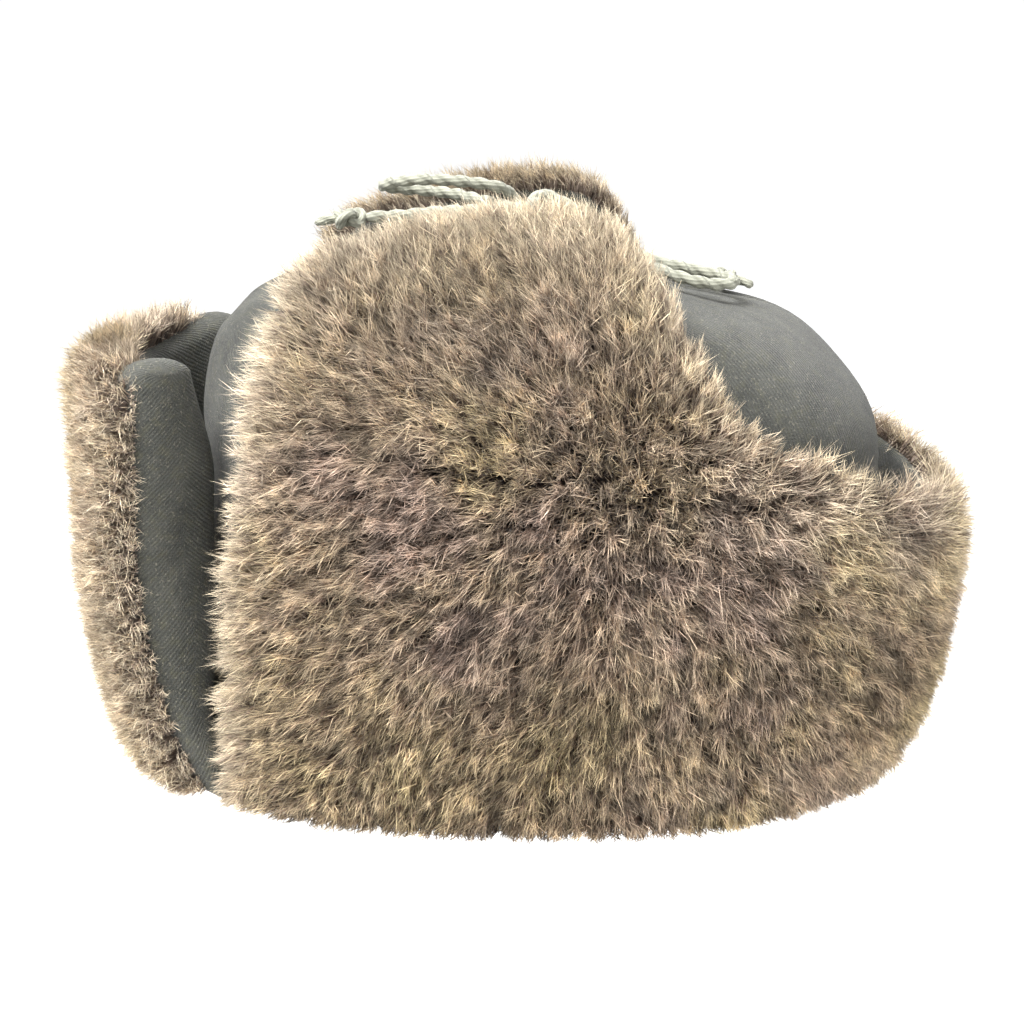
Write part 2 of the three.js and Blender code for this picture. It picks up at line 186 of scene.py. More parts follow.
def oval_reach(angle, half_width, half_length):
    across = np.abs(np.cos(angle)) / half_width
    along = np.abs(np.sin(angle)) / half_length
    return (across**rim_power + along**rim_power) ** (-1 / rim_power)


def crown_face(angle, climb):
    angle, climb = np.broadcast_arrays(np.asarray(angle, float), np.asarray(climb, float))
    height, front, back, side = np.moveaxis(along_curve(crown_stations, climb), -1, 0)
    front, back = front * rim_half_length, back * rim_half_length
    half = np.maximum((front + back) / 2, 1e-5)
    reach = oval_reach(angle, np.maximum(side * rim_half_width, 1e-5), half)
    reach = np.where(climb >= 1, 0, reach)
    y = rim_middle_y + (back - front) / 2 + reach * np.sin(angle)
    return np.stack([reach * np.cos(angle), y, height * crown_height], -1)


def normal_of(face, a, b, step_a, step_b):
    along = face(a + step_a, b) - face(a - step_a, b)
    up = face(a, b + step_b) - face(a, b - step_b)
    return normalised(np.cross(along, up))


def inside_crown(angle, climb, depth):
    """The crown's face moved inwards, with its sunk front. At the top its normal is straight up."""
    face = crown_face(angle, climb)
    front = smoothstep(-face[..., 1], 0.015, 0.075) * smoothstep(face[..., 2], 0.06, 0.125)
    depth = depth + crown_slump * front
    normal = normal_of(crown_face, angle, np.minimum(climb, 0.985), 0.01, 0.004)
    top = smoothstep(np.asarray(climb, float), 0.965, 0.99)[..., None]
    normal = normalised(mixed(normal, np.array([0.0, 0.0, 1.0]), top))
    return face - normal * np.asarray(depth)[..., None]


climb_table = np.linspace(0, 1, 2000)
height_table = crown_face(0.0, climb_table)[:, 2]


def climb_at(height):
    return np.interp(height, height_table, climb_table)


def fold_point(angle):
    reach = oval_reach(angle, rim_half_width + 2 * gap, rim_half_length + 2 * gap)
    y = rim_middle_y + reach * np.sin(angle)
    return np.stack([reach * np.cos(angle), y, np.zeros_like(reach)], -1)


def fold_out(angle):
    along = fold_point(angle + 0.02) - fold_point(angle - 0.02)
    return normalised(np.stack([along[..., 1], -along[..., 0], np.zeros_like(angle)], -1))


side_line = crown_face(0.0, np.arange(121) / 121)
side_reach = np.r_[0, np.cumsum(np.linalg.norm(np.diff(side_line, axis=0), axis=1))]


def ear_face(angle, length):
    foot = fold_point(angle)
    side_x = np.interp(length, side_reach, side_line[:, 0])
    side_z = np.interp(length, side_reach, side_line[:, 2])
    straight = ear_stand_off * smoothstep(length, 0, tip_length)
    away = (rim_half_width + 2 * gap - foot[..., 0]) * straight
    roll = ear_roll * (1 - np.exp(-length / (nape_roll / 2)))
    front = np.clip(angle / flap_front, 0, 1)
    return np.stack(
        [
            foot[..., 0] + side_x - rim_half_width + away + roll,
            foot[..., 1] + ear_front_lean * front * length / tip_length,
            side_z + ear_lift * smoothstep(length, tip_length / 2, tip_length),
        ],
        -1,
    )


def nape_face(angle, length):
    reach = nape_flare * (1 - np.exp(-length / nape_roll))
    point = fold_point(angle) + fold_out(angle) * reach[..., None]
    point[..., 2] = length * nape_rise
    return point


def flap_face(angle, length):
    """The whole flap's inner face. Past the middle of the back it is mirrored."""
    angle, length = np.broadcast_arrays(np.asarray(angle, float), np.asarray(length, float))
    beyond = angle > math.pi / 2
    angle = np.where(beyond, math.pi - angle, angle)
    nape = smoothstep(angle, nape_start - nape_blend, neck_start)[..., None]
    point = mixed(ear_face(angle, length), nape_face(angle, length), nape)
    point[..., 0] = np.where(beyond, -point[..., 0], point[..., 0])
    return point


def lifted_face(angle, length):
    """The flap's inner face with both tips and the right nape corner lifted a little."""
    point = flap_face(angle, length)
    angle, length = np.broadcast_arrays(np.asarray(angle, float), np.asarray(length, float))
    tip = smoothstep(length, 0.12, 0.175)
    right = far_tip_lift * smoothstep(angle, math.radians(120), math.radians(150)) * tip
    left = near_tip_lift * (1 - smoothstep(angle, -0.55, 0.15)) * tip
    corner = np.exp(-(((angle - math.radians(122)) / 0.38) ** 2)) * smoothstep(length, 0.045, 0.09)
    point[..., 2] += right + left + nape_corner_lift * corner * (1 - tip)
    return point


def trimmed(angle, length):
    """The angle moved back from the flap's front edge, more and more towards its tip."""
    back = front_trim * smoothstep(length, 0.075, 0.165)
    left = 1 - smoothstep(angle, flap_front, flap_front + 0.9)
    right = smoothstep(angle, math.pi - flap_front - 0.9, math.pi - flap_front)
    return angle + back * (left - right)


edge_line = along_curve(flap_edge_points, np.linspace(0, 1, 301))


def flap_length(angle):
    degrees = np.degrees(np.where(angle > math.pi / 2, math.pi - angle, angle))
    return np.interp(degrees, edge_line[:, 0], edge_line[:, 1])


def visor_face(angle, length):
    angle, length = np.broadcast_arrays(np.asarray(angle, float), np.asarray(length, float))
    foot = fold_point(angle)
    spread = visor_spread * (length / visor_length) * foot[..., 0] / rim_half_width
    reach = visor_flare * (1 - np.exp(-length / visor_roll))
    reach = reach - visor_set_back * smoothstep(length, 0.06, 0.13)
    return np.stack([foot[..., 0] + spread, foot[..., 1] - reach, length * visor_rise], -1)


def visor_length_at(angle):
    half = abs(fold_point(np.array(flap_front))[0])
    from_end = np.maximum(0, half - np.abs(fold_point(angle)[..., 0]))
    short = np.maximum(0, 1 - from_end / visor_corner)
    return visor_length - visor_corner * (1 - np.sqrt(1 - short * short * corner_fullness))


def off_face(face, angle, length, depth):
    """A point this far outside a flap's inner face, measured level close to the fold."""
    normal = normal_of(face, angle, np.maximum(length, 0.001), 0.01, 0.0005)
    level = normalised(normal * np.array([1.0, 1.0, 0.0]))
    square = smoothstep(length, 0, level_until)[..., None]
    direction = normalised(mixed(level, normal, square))
    return face(angle, length) + direction * np.asarray(depth)[..., None]


# ---- Meshes ----
def new_piece(name, points, faces, material, uv=None):
    """A mesh object at the origin, with its doubles merged and its faces outwards."""
    mesh = bpy.data.meshes.new(name)
    mesh.from_pydata([tuple(p) for p in points], [], faces)
    if uv is not None:
        layer = mesh.uv_layers.new(name="cloth")
        corners = np.array([v for face in faces for v in face])
        layer.uv.foreach_set("vector", np.asarray(uv, np.float32)[corners].ravel())
    work = bmesh.new()
    work.from_mesh(mesh)
    bmesh.ops.remove_doubles(work, verts=work.verts, dist=2e-6)
    bmesh.ops.dissolve_degenerate(work, dist=1e-6, edges=work.edges)
    bmesh.ops.recalc_face_normals(work, faces=work.faces)
    for face in work.faces:
        face.smooth = True
    work.to_mesh(mesh)
    work.free()
    mesh.materials.append(material)
    piece = bpy.data.objects.new(name, mesh)
    bpy.context.scene.collection.objects.link(piece)
    return piece


def grid_faces(columns, rows, first=0, around=False):
    """Faces of a grid of points, column by column."""
    faces = []
    for i in range(columns if around else columns - 1):
        a, b = first + i * rows, first + (i + 1) % columns * rows
        faces += [(a + j, b + j, b + j + 1, a + j + 1) for j in range(rows - 1)]
    return faces


def pillow(name, outer, inner, material, uv=None, inner_uv=None):
    """A closed form between two sheets of points that meet, or are joined, at their edges."""
    columns, rows = outer.shape[:2]
    count = columns * rows
    points = np.vstack([outer.reshape(-1, 3), inner.reshape(-1, 3)])
    faces = grid_faces(columns, rows)
    faces += [tuple(reversed(f)) for f in grid_faces(columns, rows, count)]
    rim = [i * rows for i in range(columns)]
    rim += [(columns - 1) * rows + j for j in range(1, rows)]
    rim += [i * rows + rows - 1 for i in range(columns - 2, -1, -1)]
    rim += [j for j in range(rows - 2, 0, -1)]
    for a, b in zip(rim, rim[1:] + rim[:1]):
        faces.append((b, a, a + count, b + count))
    if uv is not None:
        inner_uv = uv if inner_uv is None else inner_uv
        uv = np.vstack([uv.reshape(-1, 2), inner_uv.reshape(-1, 2)])
    return new_piece(name, points, faces, material, uv)


def store(mesh, name, kind, domain, values):
    """Writes a named attribute. Vectors are one row each."""
    attribute = mesh.attributes.new(name, kind, domain)
    key = "vector" if kind == "FLOAT_VECTOR" else "value"
    attribute.data.foreach_set(key, np.asarray(values).ravel())


def edge_round(distance, radius):
    """0 at an edge, 1 once this far in, as a quarter circle."""
    inside = np.clip(1 - distance / radius, 0, 1)
    return np.sqrt(1 - inside * inside)


# ---- Materials ----
class Shader:
    """A material in the making, with short names for the nodes that finishes are made of."""

    def __init__(self, name, **values):
        self.material = bpy.data.materials.new(name)
        self.material.use_nodes = True
        self.tree = self.material.node_tree
        self.body = self.tree.nodes["Principled BSDF"]
        for key, value in values.items():
            self.body.inputs[key.replace("_", " ")].default_value = value

    def add(self, kind, *values, **settings):
        node = self.tree.nodes.new(kind)
        for key, value in settings.items():
            setattr(node, key, value)
        for socket, value in zip(node.inputs, values):
            self.feed(socket, value)
        return node

    def feed(self, socket, value):
        if isinstance(value, bpy.types.NodeSocket):
            self.tree.links.new(value, socket)
        elif value is not None:
            socket.default_value = value

    def place(self):
        return self.add("ShaderNodeTexCoord").outputs["Object"]

    def cloth_map(self):
        return self.add("ShaderNodeUVMap", uv_map="cloth").outputs["UV"]

    def attribute(self, name):
        return self.add("ShaderNodeAttribute", attribute_name=name).outputs["Fac"]

    def maths(self, operation, *values):
        return self.add("ShaderNodeMath", *values, operation=operation).outputs[0]

    def noise(self, where, scale, detail=3.0, roughness=0.55):
        node = self.add("ShaderNodeTexNoise")
        self.feed(node.inputs["Vector"], where)
        self.feed(node.inputs["Scale"], scale)
        self.feed(node.inputs["Detail"], detail)
        self.feed(node.inputs["Roughness"], roughness)
        return node.outputs["Fac"]

    def spread(self, value, low, high, new_low=0.0, new_high=1.0):
        node = self.add("ShaderNodeMapRange", value, low, high, new_low, new_high)
        return node.outputs[0]

    def ramp(self, value, *stops):
        node = self.add("ShaderNodeValToRGB", value)
        marks = node.color_ramp.elements
        while len(marks) < len(stops):
            marks.new(0.5)
        for mark, (position, colour) in zip(marks, stops):
            mark.position = position
            mark.color = (*colour, 1)
        return node.outputs["Color"]

    def mix(self, share, a, b, blend="MIX"):
        node = self.add("ShaderNodeMix", data_type="RGBA", blend_type=blend)
        self.feed(node.inputs["Factor"], share)
        self.feed(node.inputs[6], (*a, 1) if isinstance(a, tuple) else a)
        self.feed(node.inputs[7], (*b, 1) if isinstance(b, tuple) else b)
        return node.outputs[2]

    def bump(self, height, strength, distance):
        node = self.add("ShaderNodeBump")
        node.inputs["Strength"].default_value = strength
        node.inputs["Distance"].default_value = distance
        self.feed(node.inputs["Height"], height)
        self.feed(self.body.inputs["Normal"], node.outputs["Normal"])

    def finish(self, colour=None, roughness=None):
        self.feed(self.body.inputs["Base Color"], colour)
        self.feed(self.body.inputs["Roughness"], roughness)
        return self.material


fur_root = (0.022, 0.012, 0.010)
fur_mid = (0.16, 0.105, 0.075)
fur_gold = (0.80, 0.66, 0.38)
fur_pink = (0.60, 0.46, 0.37)
fur_mauve = (0.36, 0.29, 0.26)
fur_olive = (0.46, 0.37, 0.18)
fur_pale = (0.96, 0.84, 0.62)


def fur_finish():
    """Pile that is dark at the root and pale at the tip, in patches of gold, pink and mauve."""
    s = Shader("faux_fur", Roughness=0.62, Specular_IOR_Level=0.35, Sheen_Weight=0.12)
    where = s.place()
    along = s.attribute("along")
    tint = s.attribute("tint")
    tuft = s.attribute("tuft")
    patch = s.spread(s.noise(where, 24.0, 4.0), 0.36, 0.64)
    cloud = s.spread(s.noise(where, 60.0, 3.0), 0.40, 0.68)
    warm = s.spread(s.noise(where, 15.0, 2.0), 0.44, 0.62)
    tip = s.mix(patch, fur_pink, fur_gold)
    tip = s.mix(s.maths("MULTIPLY", cloud, 0.6), tip, fur_mauve)
    tip = s.mix(s.maths("MULTIPLY", warm, 0.45), tip, fur_olive)
    # The pale attribute lifts the tips and the lower colour and evens out the contrast. On the flap it
    # carries painted highlight at the edges and high up.
    tip = s.mix(s.attribute("pale"), tip, fur_pale)
    reach = s.maths("ADD", along, s.spread(tint, 0, 1, -0.16, 0.16))
    low = s.mix(s.spread(reach, 0.06, 0.62), fur_root, fur_mid)
    low = s.mix(s.maths("MULTIPLY", s.attribute("pale"), 0.75), low, (0.36, 0.28, 0.225))
    colour = s.mix(s.spread(reach, 0.50, 1.0), low, tip)
    mottle = s.spread(s.noise(where, 270.0, 3.0, 0.6), 0.36, 0.62, 0.40, 1.34)
    light = s.maths("MULTIPLY", s.spread(tint, 0, 1, 0.80, 1.20), s.spread(tuft, 0, 1, 0.44, 1.46))
    light = s.maths("MULTIPLY", light, mottle)
    even = s.maths("MULTIPLY", s.attribute("pale"), 0.6)
    light = s.maths("MULTIPLY_ADD", s.maths("SUBTRACT", 1.0, even), light, even)
    grey = s.add("ShaderNodeCombineColor", light, light, light).outputs[0]
    return s.finish(s.mix(1.0, colour, grey, "MULTIPLY"))


def backing_finish(name, dark, light):
    """The fur's knitted backing with the shortest down on it."""
    s = Shader(name, Roughness=0.95, Sheen_Weight=0.2)
    where = s.place()
    down = s.noise(where, 900.0, 4.0, 0.7)
    colour = s.ramp(down, (0.3, dark), (0.75, light))
    s.bump(down, 0.8, 0.001)
    return s.finish(colour)


def knit_finish(name, dark, light, fleck):
    """Fine ribbed knit of melange yarn, with a short nap and pale flecks."""
    s = Shader(name, Roughness=0.92, Sheen_Weight=0.14, Sheen_Roughness=0.5)
    cloth = s.cloth_map()
    parts = s.add("ShaderNodeSeparateXYZ", cloth)
    across = s.maths("DIVIDE", parts.outputs[0], knit_rib)
    up = s.maths("DIVIDE", parts.outputs[1], knit_rib * 0.8)
    wander = s.maths("MULTIPLY", s.noise(cloth, 260.0, 2.0), 0.9)
    across = s.maths("ADD", across, wander)
    wale = s.maths("PINGPONG", across, 0.5)
    stitch = s.maths("PINGPONG", s.maths("ADD", up, s.maths("MULTIPLY", wale, 1.6)), 0.5)
    rib = s.maths("POWER", s.maths("MULTIPLY", wale, 2.0), 0.6)
    yarn = s.maths("MULTIPLY_ADD", stitch, 0.7, rib)
    fuzz = s.noise(s.place(), 2600.0, 4.0, 0.75)
    cloud = s.noise(s.place(), 75.0, 5.0, 0.7)
    height = s.maths("MULTIPLY_ADD", fuzz, 0.9, yarn)
    share = s.maths("MULTIPLY_ADD", cloud, 0.5, s.maths("MULTIPLY", fuzz, 0.7))
    colour = s.mix(s.spread(share, 0.42, 0.72), dark, light)
    moss = s.spread(s.noise(s.place(), 340.0, 3.0, 0.6), 0.5, 0.68)
    colour = s.mix(s.maths("MULTIPLY", moss, 0.35), colour, (0.115, 0.110, 0.062))
    # Painted shade: the knit's colour is darkened in the grooves between the ribs.
    rib_shade = s.spread(rib, 0.1, 0.7, 0.55, 1.0)
    grey = s.add("ShaderNodeCombineColor", rib_shade, rib_shade, rib_shade).outputs[0]
    colour = s.mix(0.8, colour, grey, "MULTIPLY")
    specks = s.spread(s.noise(s.place(), 1300.0, 2.0, 0.5), 0.61, 0.68)
    colour = s.mix(s.maths("MULTIPLY", specks, 0.30), colour, fleck)
    s.bump(height, 0.55, 0.0007)
    return s.finish(colour)


def felt_finish():
    """Needled wadding."""
    s = Shader("wadding", Roughness=1.0)
    fibre = s.noise(s.place(), 420.0, 6.0, 0.8)
    s.bump(fibre, 0.6, 0.001)
    return s.finish(s.ramp(fibre, (0.25, (0.50, 0.47, 0.42)), (0.8, (0.80, 0.78, 0.73))))


def quilt_finish():
    """Satin lining, quilted in diamonds."""
    s = Shader("quilted_lining", Roughness=0.42, Sheen_Weight=0.15)
    parts = s.add("ShaderNodeSeparateXYZ", s.cloth_map())
    weave = s.maths("SINE", s.maths("MULTIPLY", parts.outputs[1], 9000.0))
    weft = s.maths("SINE", s.maths("MULTIPLY", parts.outputs[0], 4500.0))
    height = s.maths("MULTIPLY_ADD", weave, weft, s.noise(s.place(), 140.0, 3.0))
    s.bump(height, 0.25, 0.0003)
    cloud = s.noise(s.place(), 60.0, 3.0)
    return s.finish(s.ramp(cloud, (0.3, (0.030, 0.034, 0.034)), (0.7, (0.062, 0.068, 0.066))))


def cord_finish():
    """Two-ply cotton cord. Its map runs round a ply and along the cord."""
    s = Shader("tie_cord", Roughness=0.85, Sheen_Weight=0.2)
    parts = s.add("ShaderNodeSeparateXYZ", s.cloth_map())
    slant = s.maths("MULTIPLY_ADD", parts.outputs[0], 9.0, s.maths("MULTIPLY", parts.outputs[1], 900.0))
    thread = s.maths("PINGPONG", slant, 0.5)
    fuzz = s.noise(s.place(), 2400.0, 4.0, 0.7)
    s.bump(s.maths("MULTIPLY_ADD", fuzz, 0.6, thread), 0.7, 0.0004)
    share = s.maths("MULTIPLY_ADD", thread, 0.7, s.maths("MULTIPLY", fuzz, 0.6))
    # Painted shade: the cord's colour is darkened in the groove between its two plies.
    groove_shade = s.attribute("groove_shade")
    colour = s.ramp(share, (0.15, (0.28, 0.285, 0.225)), (0.75, (0.53, 0.53, 0.43)))
    colour = s.mix(s.maths("MULTIPLY", groove_shade, 0.55), colour, (0.11, 0.11, 0.08))
    return s.finish(colour)


def label_finish():
    s = Shader("woven_label", Roughness=0.6)
    parts = s.add("ShaderNodeSeparateXYZ", s.cloth_map())
    warp = s.maths("SINE", s.maths("MULTIPLY", parts.outputs[0], 12000.0))
    weft = s.maths("SINE", s.maths("MULTIPLY", parts.outputs[1], 12000.0))
    weave = s.maths("MULTIPLY", warp, weft)
    s.bump(weave, 0.5, 0.0002)
    return s.finish(s.ramp(s.spread(weave, -1, 1), (0, (0.52, 0.50, 0.45)), (1, (0.74, 0.72, 0.66))))


def thread_finish():
    s = Shader("sewing_thread", Roughness=0.6)
    twist = s.noise(s.place(), 3000.0, 2.0)
    s.bump(twist, 0.4, 0.0002)
    return s.finish(s.ramp(twist, (0.3, (0.24, 0.19, 0.155)), (0.7, (0.46, 0.38, 0.32))))


fur = fur_finish()
backing = backing_finish("fur_backing", (0.022, 0.014, 0.011), (0.13, 0.092, 0.070))
pale_backing = backing_finish("pale_fur_backing", (0.13, 0.095, 0.075), (0.38, 0.30, 0.24))
knit = knit_finish("knitted_cloth", (0.014, 0.016, 0.014), (0.102, 0.103, 0.088), (0.40, 0.37, 0.28))
felt = felt_finish()
quilt = quilt_finish()
cotton = cord_finish()
woven = label_finish()
thread = thread_finish()

# ---- Camera, light and floor ----
aim = Vector((0, 0, 0.074))
camera_distance = 0.65
camera_rise = math.radians(12)
camera_data = bpy.data.cameras.new("camera")
camera_data.lens = 71.4
camera_data.sensor_width = 36
camera = bpy.data.objects.new("camera", camera_data)
camera.location = aim + camera_distance * Vector((math.cos(camera_rise), 0, math.sin(camera_rise)))
camera.rotation_euler = (aim - camera.location).to_track_quat("-Z", "Y").to_euler()
bpy.context.scene.collection.objects.link(camera)
bpy.context.scene.camera = camera


def softbox(name, place, size, power):
    data = bpy.data.lights.new(name, "AREA")
    data.shape = "DISK"
    data.size = size
    data.energy = power
    lamp = bpy.data.objects.new(name, data)
    lamp.location = place
    lamp.rotation_euler = (aim - lamp.location).to_track_quat("-Z", "Y").to_euler()
    bpy.context.scene.collection.objects.link(lamp)


softbox("key", Vector((0.45, -0.60, 1.30)), 0.8, 46)
softbox("fill", Vector((1.1, 0.7, 0.60)), 1.2, 5)
softbox("back", Vector((-0.9, 0.3, 1.1)), 0.9, 14)

bpy.context.scene.view_settings.view_transform = "Standard"
world = bpy.data.worlds.new("studio")
world.use_nodes = True
studio = world.node_tree
studio.nodes["Background"].inputs["Color"].default_value = (1.0, 1.0, 1.0, 1)
direction = studio.nodes.new("ShaderNodeTexCoord")
split = studio.nodes.new("ShaderNodeSeparateXYZ")
studio.links.new(direction.outputs["Generated"], split.inputs[0])
sky = studio.nodes.new("ShaderNodeMapRange")
for socket, value in zip(sky.inputs[1:5], (0.10, 0.32, 1.02, 0.50)):
    socket.default_value = value
studio.links.new(split.outputs["Z"], sky.inputs[0])
studio.links.new(sky.outputs[0], studio.nodes["Background"].inputs["Strength"])
bpy.context.scene.world = world

floor_drop = 0.235  # the floor lies below the flaps when they hang down
floor_shader = Shader("floor", Roughness=0.9, Emission_Strength=0.60)
floor_shader.body.inputs["Emission Color"].default_value = (1, 1, 1, 1)
floor = new_piece(
    "floor",
    [(x, y, -floor_drop) for x, y in ((-9, -9), (9, -9), (9, 9), (-9, 9))],
    [(0, 1, 2, 3)],
    floor_shader.finish((0.82, 0.82, 0.82, 1)),
)

# ---- Tie cords ----
left_route = [
    (0.0368, 0.003, 0.1632),
    (0.031, 0.0035, 0.1662),
    (0.025, 0.0045, 0.1694),
    (0.018, 0.006, 0.173),
    (0.0115, 0.010, 0.175),
    (0.0084, 0.020, 0.170),
    (0.008, 0.031, 0.1615),
    (0.008, 0.041, 0.1558),
    (0.0086, 0.052, 0.153),
    (0.010, 0.061, 0.1512),
    (0.014, 0.067, 0.1498),
    (0.020, 0.0665, 0.149),
    (0.0235, 0.060, 0.1492),
    (0.0225, 0.050, 0.1514),
    (0.018, 0.036, 0.1565),
    (0.0125, 0.022, 0.163),
    (0.009, 0.010, 0.1682),
    (0.0084, 0.0, 0.1698),
    (0.0084, -0.010, 0.1702),
    (0.009, -0.022, 0.1698),
    (0.011, -0.034, 0.1688),
    (0.013, -0.045, 0.1684),
]
right_route = [
    (-0.0368, 0.003, 0.1632),
    (-0.031, 0.0025, 0.1662),
    (-0.025, 0.0015, 0.1692),
    (-0.018, 0.0, 0.173),
    (-0.0105, -0.004, 0.1762),
    (-0.0083, -0.014, 0.178),
    (-0.0086, -0.026, 0.1788),
    (-0.011, -0.036, 0.178),
    (-0.017, -0.041, 0.1766),
    (-0.023, -0.038, 0.1754),
    (-0.025, -0.029, 0.1746),
    (-0.021, -0.018, 0.1736),
    (-0.014, -0.008, 0.1716),
    (-0.009, 0.003, 0.1694),
    (-0.007, 0.014, 0.166),
    (-0.006, 0.026, 0.1604),
    (-0.0052, 0.038, 0.1548),
    (-0.0046, 0.050, 0.1508),
    (-0.0042, 0.061, 0.1492),
]


def even_line(points, step):
    """The same line in steps of equal length."""
    reach = np.r_[0, np.cumsum(np.linalg.norm(np.diff(points, axis=0), axis=1))]
    at = np.linspace(0, reach[-1], max(2, round(reach[-1] / step) + 1))
    return np.stack([np.interp(at, reach, points[:, k]) for k in range(3)], 1)


def twisted_cord(name, line, diameter, taper=0.0, sides=16):
    """A tube of two plies that wind round each other, with rounded ends."""
    tangent = normalised(np.gradient(line, axis=0))
    side = normalised(np.cross(tangent[0], (0.31, 0.2, 0.93)))
    ply = 0.37 * diameter
    offset = diameter / 2 - ply
    step = np.linalg.norm(line[1] - line[0])
    rings, uv, groove_shades = [], [], []
    for n, (centre, forward) in enumerate(zip(line, tangent)):
        side = normalised(side - forward * (side @ forward))
        other = np.cross(forward, side)
        round_end = min(n, len(line) - 1 - n) * step / (diameter / 2)
        full = math.sqrt(max(0.02, 1 - max(0, 1 - round_end) ** 2))
        turn = 2 * math.pi * n * step / cord_twist
        for k in range(sides):
            phase = 2 * math.pi * k / sides
            lobe = offset * abs(math.cos(phase)) + math.sqrt(ply**2 - (offset * math.sin(phase)) ** 2)
            reach = lobe * full * (1 - taper * n / len(line))
            way = side * math.cos(phase + turn) + other * math.sin(phase + turn)
            rings.append(centre + way * reach)
            uv.append((k / sides, n * step))
            # 1 in the groove between the two plies: the cord's colour is darkened there as painted shade.
            groove_shades.append(max(0.0, abs(math.sin(phase)) ** 6))
    count = len(line)
    faces = []
    for n in range(count - 1):
        for k in range(sides):
            a, b = n * sides + k, n * sides + (k + 1) % sides
            faces.append((a, b, b + sides, a + sides))
    faces.append(tuple(range(sides)))
    faces.append(tuple(range((count - 1) * sides, count * sides)))
    piece = new_piece(name, rings, faces, cotton, uv)
    if len(piece.data.vertices) == len(groove_shades):
        store(piece.data, "groove_shade", "FLOAT", "POINT", np.array(groove_shades, np.float32))
    return piece


def overhand_knot(name, centre, forward, reach):
    """A small overhand knot round the cord's end, with the tail that sticks out of it."""
    forward = normalised(np.array(forward))
    across = normalised(np.cross(forward, (0.0, 0.0, 1.0)))
    up = np.cross(across, forward)
    turns = np.linspace(0, 2 * math.pi, 90, endpoint=False) + 0.4
    unit = (reach - 0.0015) / 3
    a = np.sin(turns) + 2 * np.sin(2 * turns)
    b = np.cos(turns) - 2 * np.cos(2 * turns)
    c = -1.15 * np.sin(3 * turns)
    spots = np.array([across, forward, up])
    line = centre + unit * (np.stack([a, b, c], 1) @ spots)
    line = np.vstack([line, line[:1]])
    knot = twisted_cord(name, even_line(line, 0.0009), 0.0034)
    tail_start = centre + forward * reach * 0.5
    tail_end = centre + forward * (reach + 0.0045) - up * 0.0012 + across * 0.001
    tail_middle = (tail_start + tail_end) / 2 + up * 0.0004
    tail_line = even_line(np.array([tail_start, tail_middle, tail_end]), 0.0006)
    tail = twisted_cord(name + "_tail", tail_line, 0.0032)
    return joined(knot, tail)


def joined(first, *others):
    """One piece from several, which keeps the first one's name."""
    with bpy.context.temp_override(
        active_object=first, selected_editable_objects=[first, *others], selected_objects=[first, *others]
    ):
        bpy.ops.object.join()
    return first


for side_name, route in (("left", left_route), ("right", right_route)):
    line = along_curve(route, np.linspace(0, 1, 400))
    line = even_line(line, 0.0008)
    length = float(np.linalg.norm(np.diff(line, axis=0), axis=1).sum())
    tie = twisted_cord("tie_cord_" + side_name, line, cord_diameter)
    low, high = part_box("stopper_knot_" + side_name)
    middle = np.array((low + high) / 2)
    knot = overhand_knot("stopper_knot_cord_" + side_name, middle, line[-1] - line[-5], 0.0058)
    for piece, node in ((tie, "tie_" + side_name), (knot, "stopper_knot_" + side_name)):
        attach(piece, side_name + "_tie")
        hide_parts(node)

# ---- Cloth pieces ----
flap_parts = [
    ("left_ear", "left_ear_flap", flap_front, nape_start),
    ("left_ear_tip", "left_ear_tip", flap_front, tip_end),
    ("left_nape", "left_nape_corner", nape_start, neck_start),
    ("neck", "neck_flap", neck_start, math.pi - neck_start),
    ("right_nape", "right_nape_corner", math.pi - neck_start, math.pi - nape_start),
    ("right_ear", "right_ear_flap", math.pi - nape_start, math.pi - flap_front),
    ("right_ear_tip", "right_ear_tip", math.pi - tip_end, math.pi - flap_front),
]
flap_seam = 0.0006
name_of_body = {name: body for name, body, _, _ in flap_parts}


def flap_span(name, angle):
    """The lengths from the fold between which a part of the flap lies."""
    top = flap_length(angle)
    if name.endswith("tip"):
        return np.full_like(angle, bend_length), top
    if name.endswith("ear"):
        folded = np.where(angle > math.pi / 2, math.pi - angle, angle)
        return np.zeros_like(angle), np.where(folded < tip_end, np.minimum(bend_length, top), top)
    return np.zeros_like(angle), top


def inset_span(name, inset, angle):
    """The same span, drawn in at both ends."""
    low, high = flap_span(name, angle)
    return low + inset, high - inset


def edge_shares(count, edge):
    """Shares from 0 to 1 that lie close together over the round of each edge."""
    bent = edge * (1 - np.cos(np.linspace(0, math.pi / 2, 6)))[:-1]
    return np.r_[bent, np.linspace(edge, 1 - edge, count - 10), 1 - bent[::-1]]


def flap_grid(start, end, span, columns, rows, edge):
    """Angles, lengths, and distances to the sides, the foot and the top, on a grid over a part."""
    turn = np.linalg.norm(fold_point(np.array(end)) - fold_point(np.array(start)))
    across = edge_shares(columns, edge / turn)[:, None] * np.ones((1, rows))
    angle = mixed(start, end, across)
    bottom, top = span(angle)
    tall = float((top - bottom).mean())
    height = edge_shares(rows, edge / tall)[None, :] * np.ones((columns, 1))
    length = mixed(bottom, top, height)
    return angle, length, across * turn, (1 - across) * turn, length - bottom, top - length


def sheet_map(points, turn=0.0):
    """Cloth coordinates measured along a sheet of points from its middle, turned by an angle."""
    across = np.linalg.norm(np.diff(points, axis=0), axis=-1)
    across = np.vstack([np.zeros((1, points.shape[1])), np.cumsum(across, axis=0)])
    across -= across[len(across) // 2]
    up = np.linalg.norm(np.diff(points, axis=1), axis=-1)
    up = np.hstack([np.zeros((len(points), 1)), np.cumsum(up, axis=1)])
    c, s = math.cos(turn), math.sin(turn)
    return np.stack([across * c - up * s, across * s + up * c], -1)


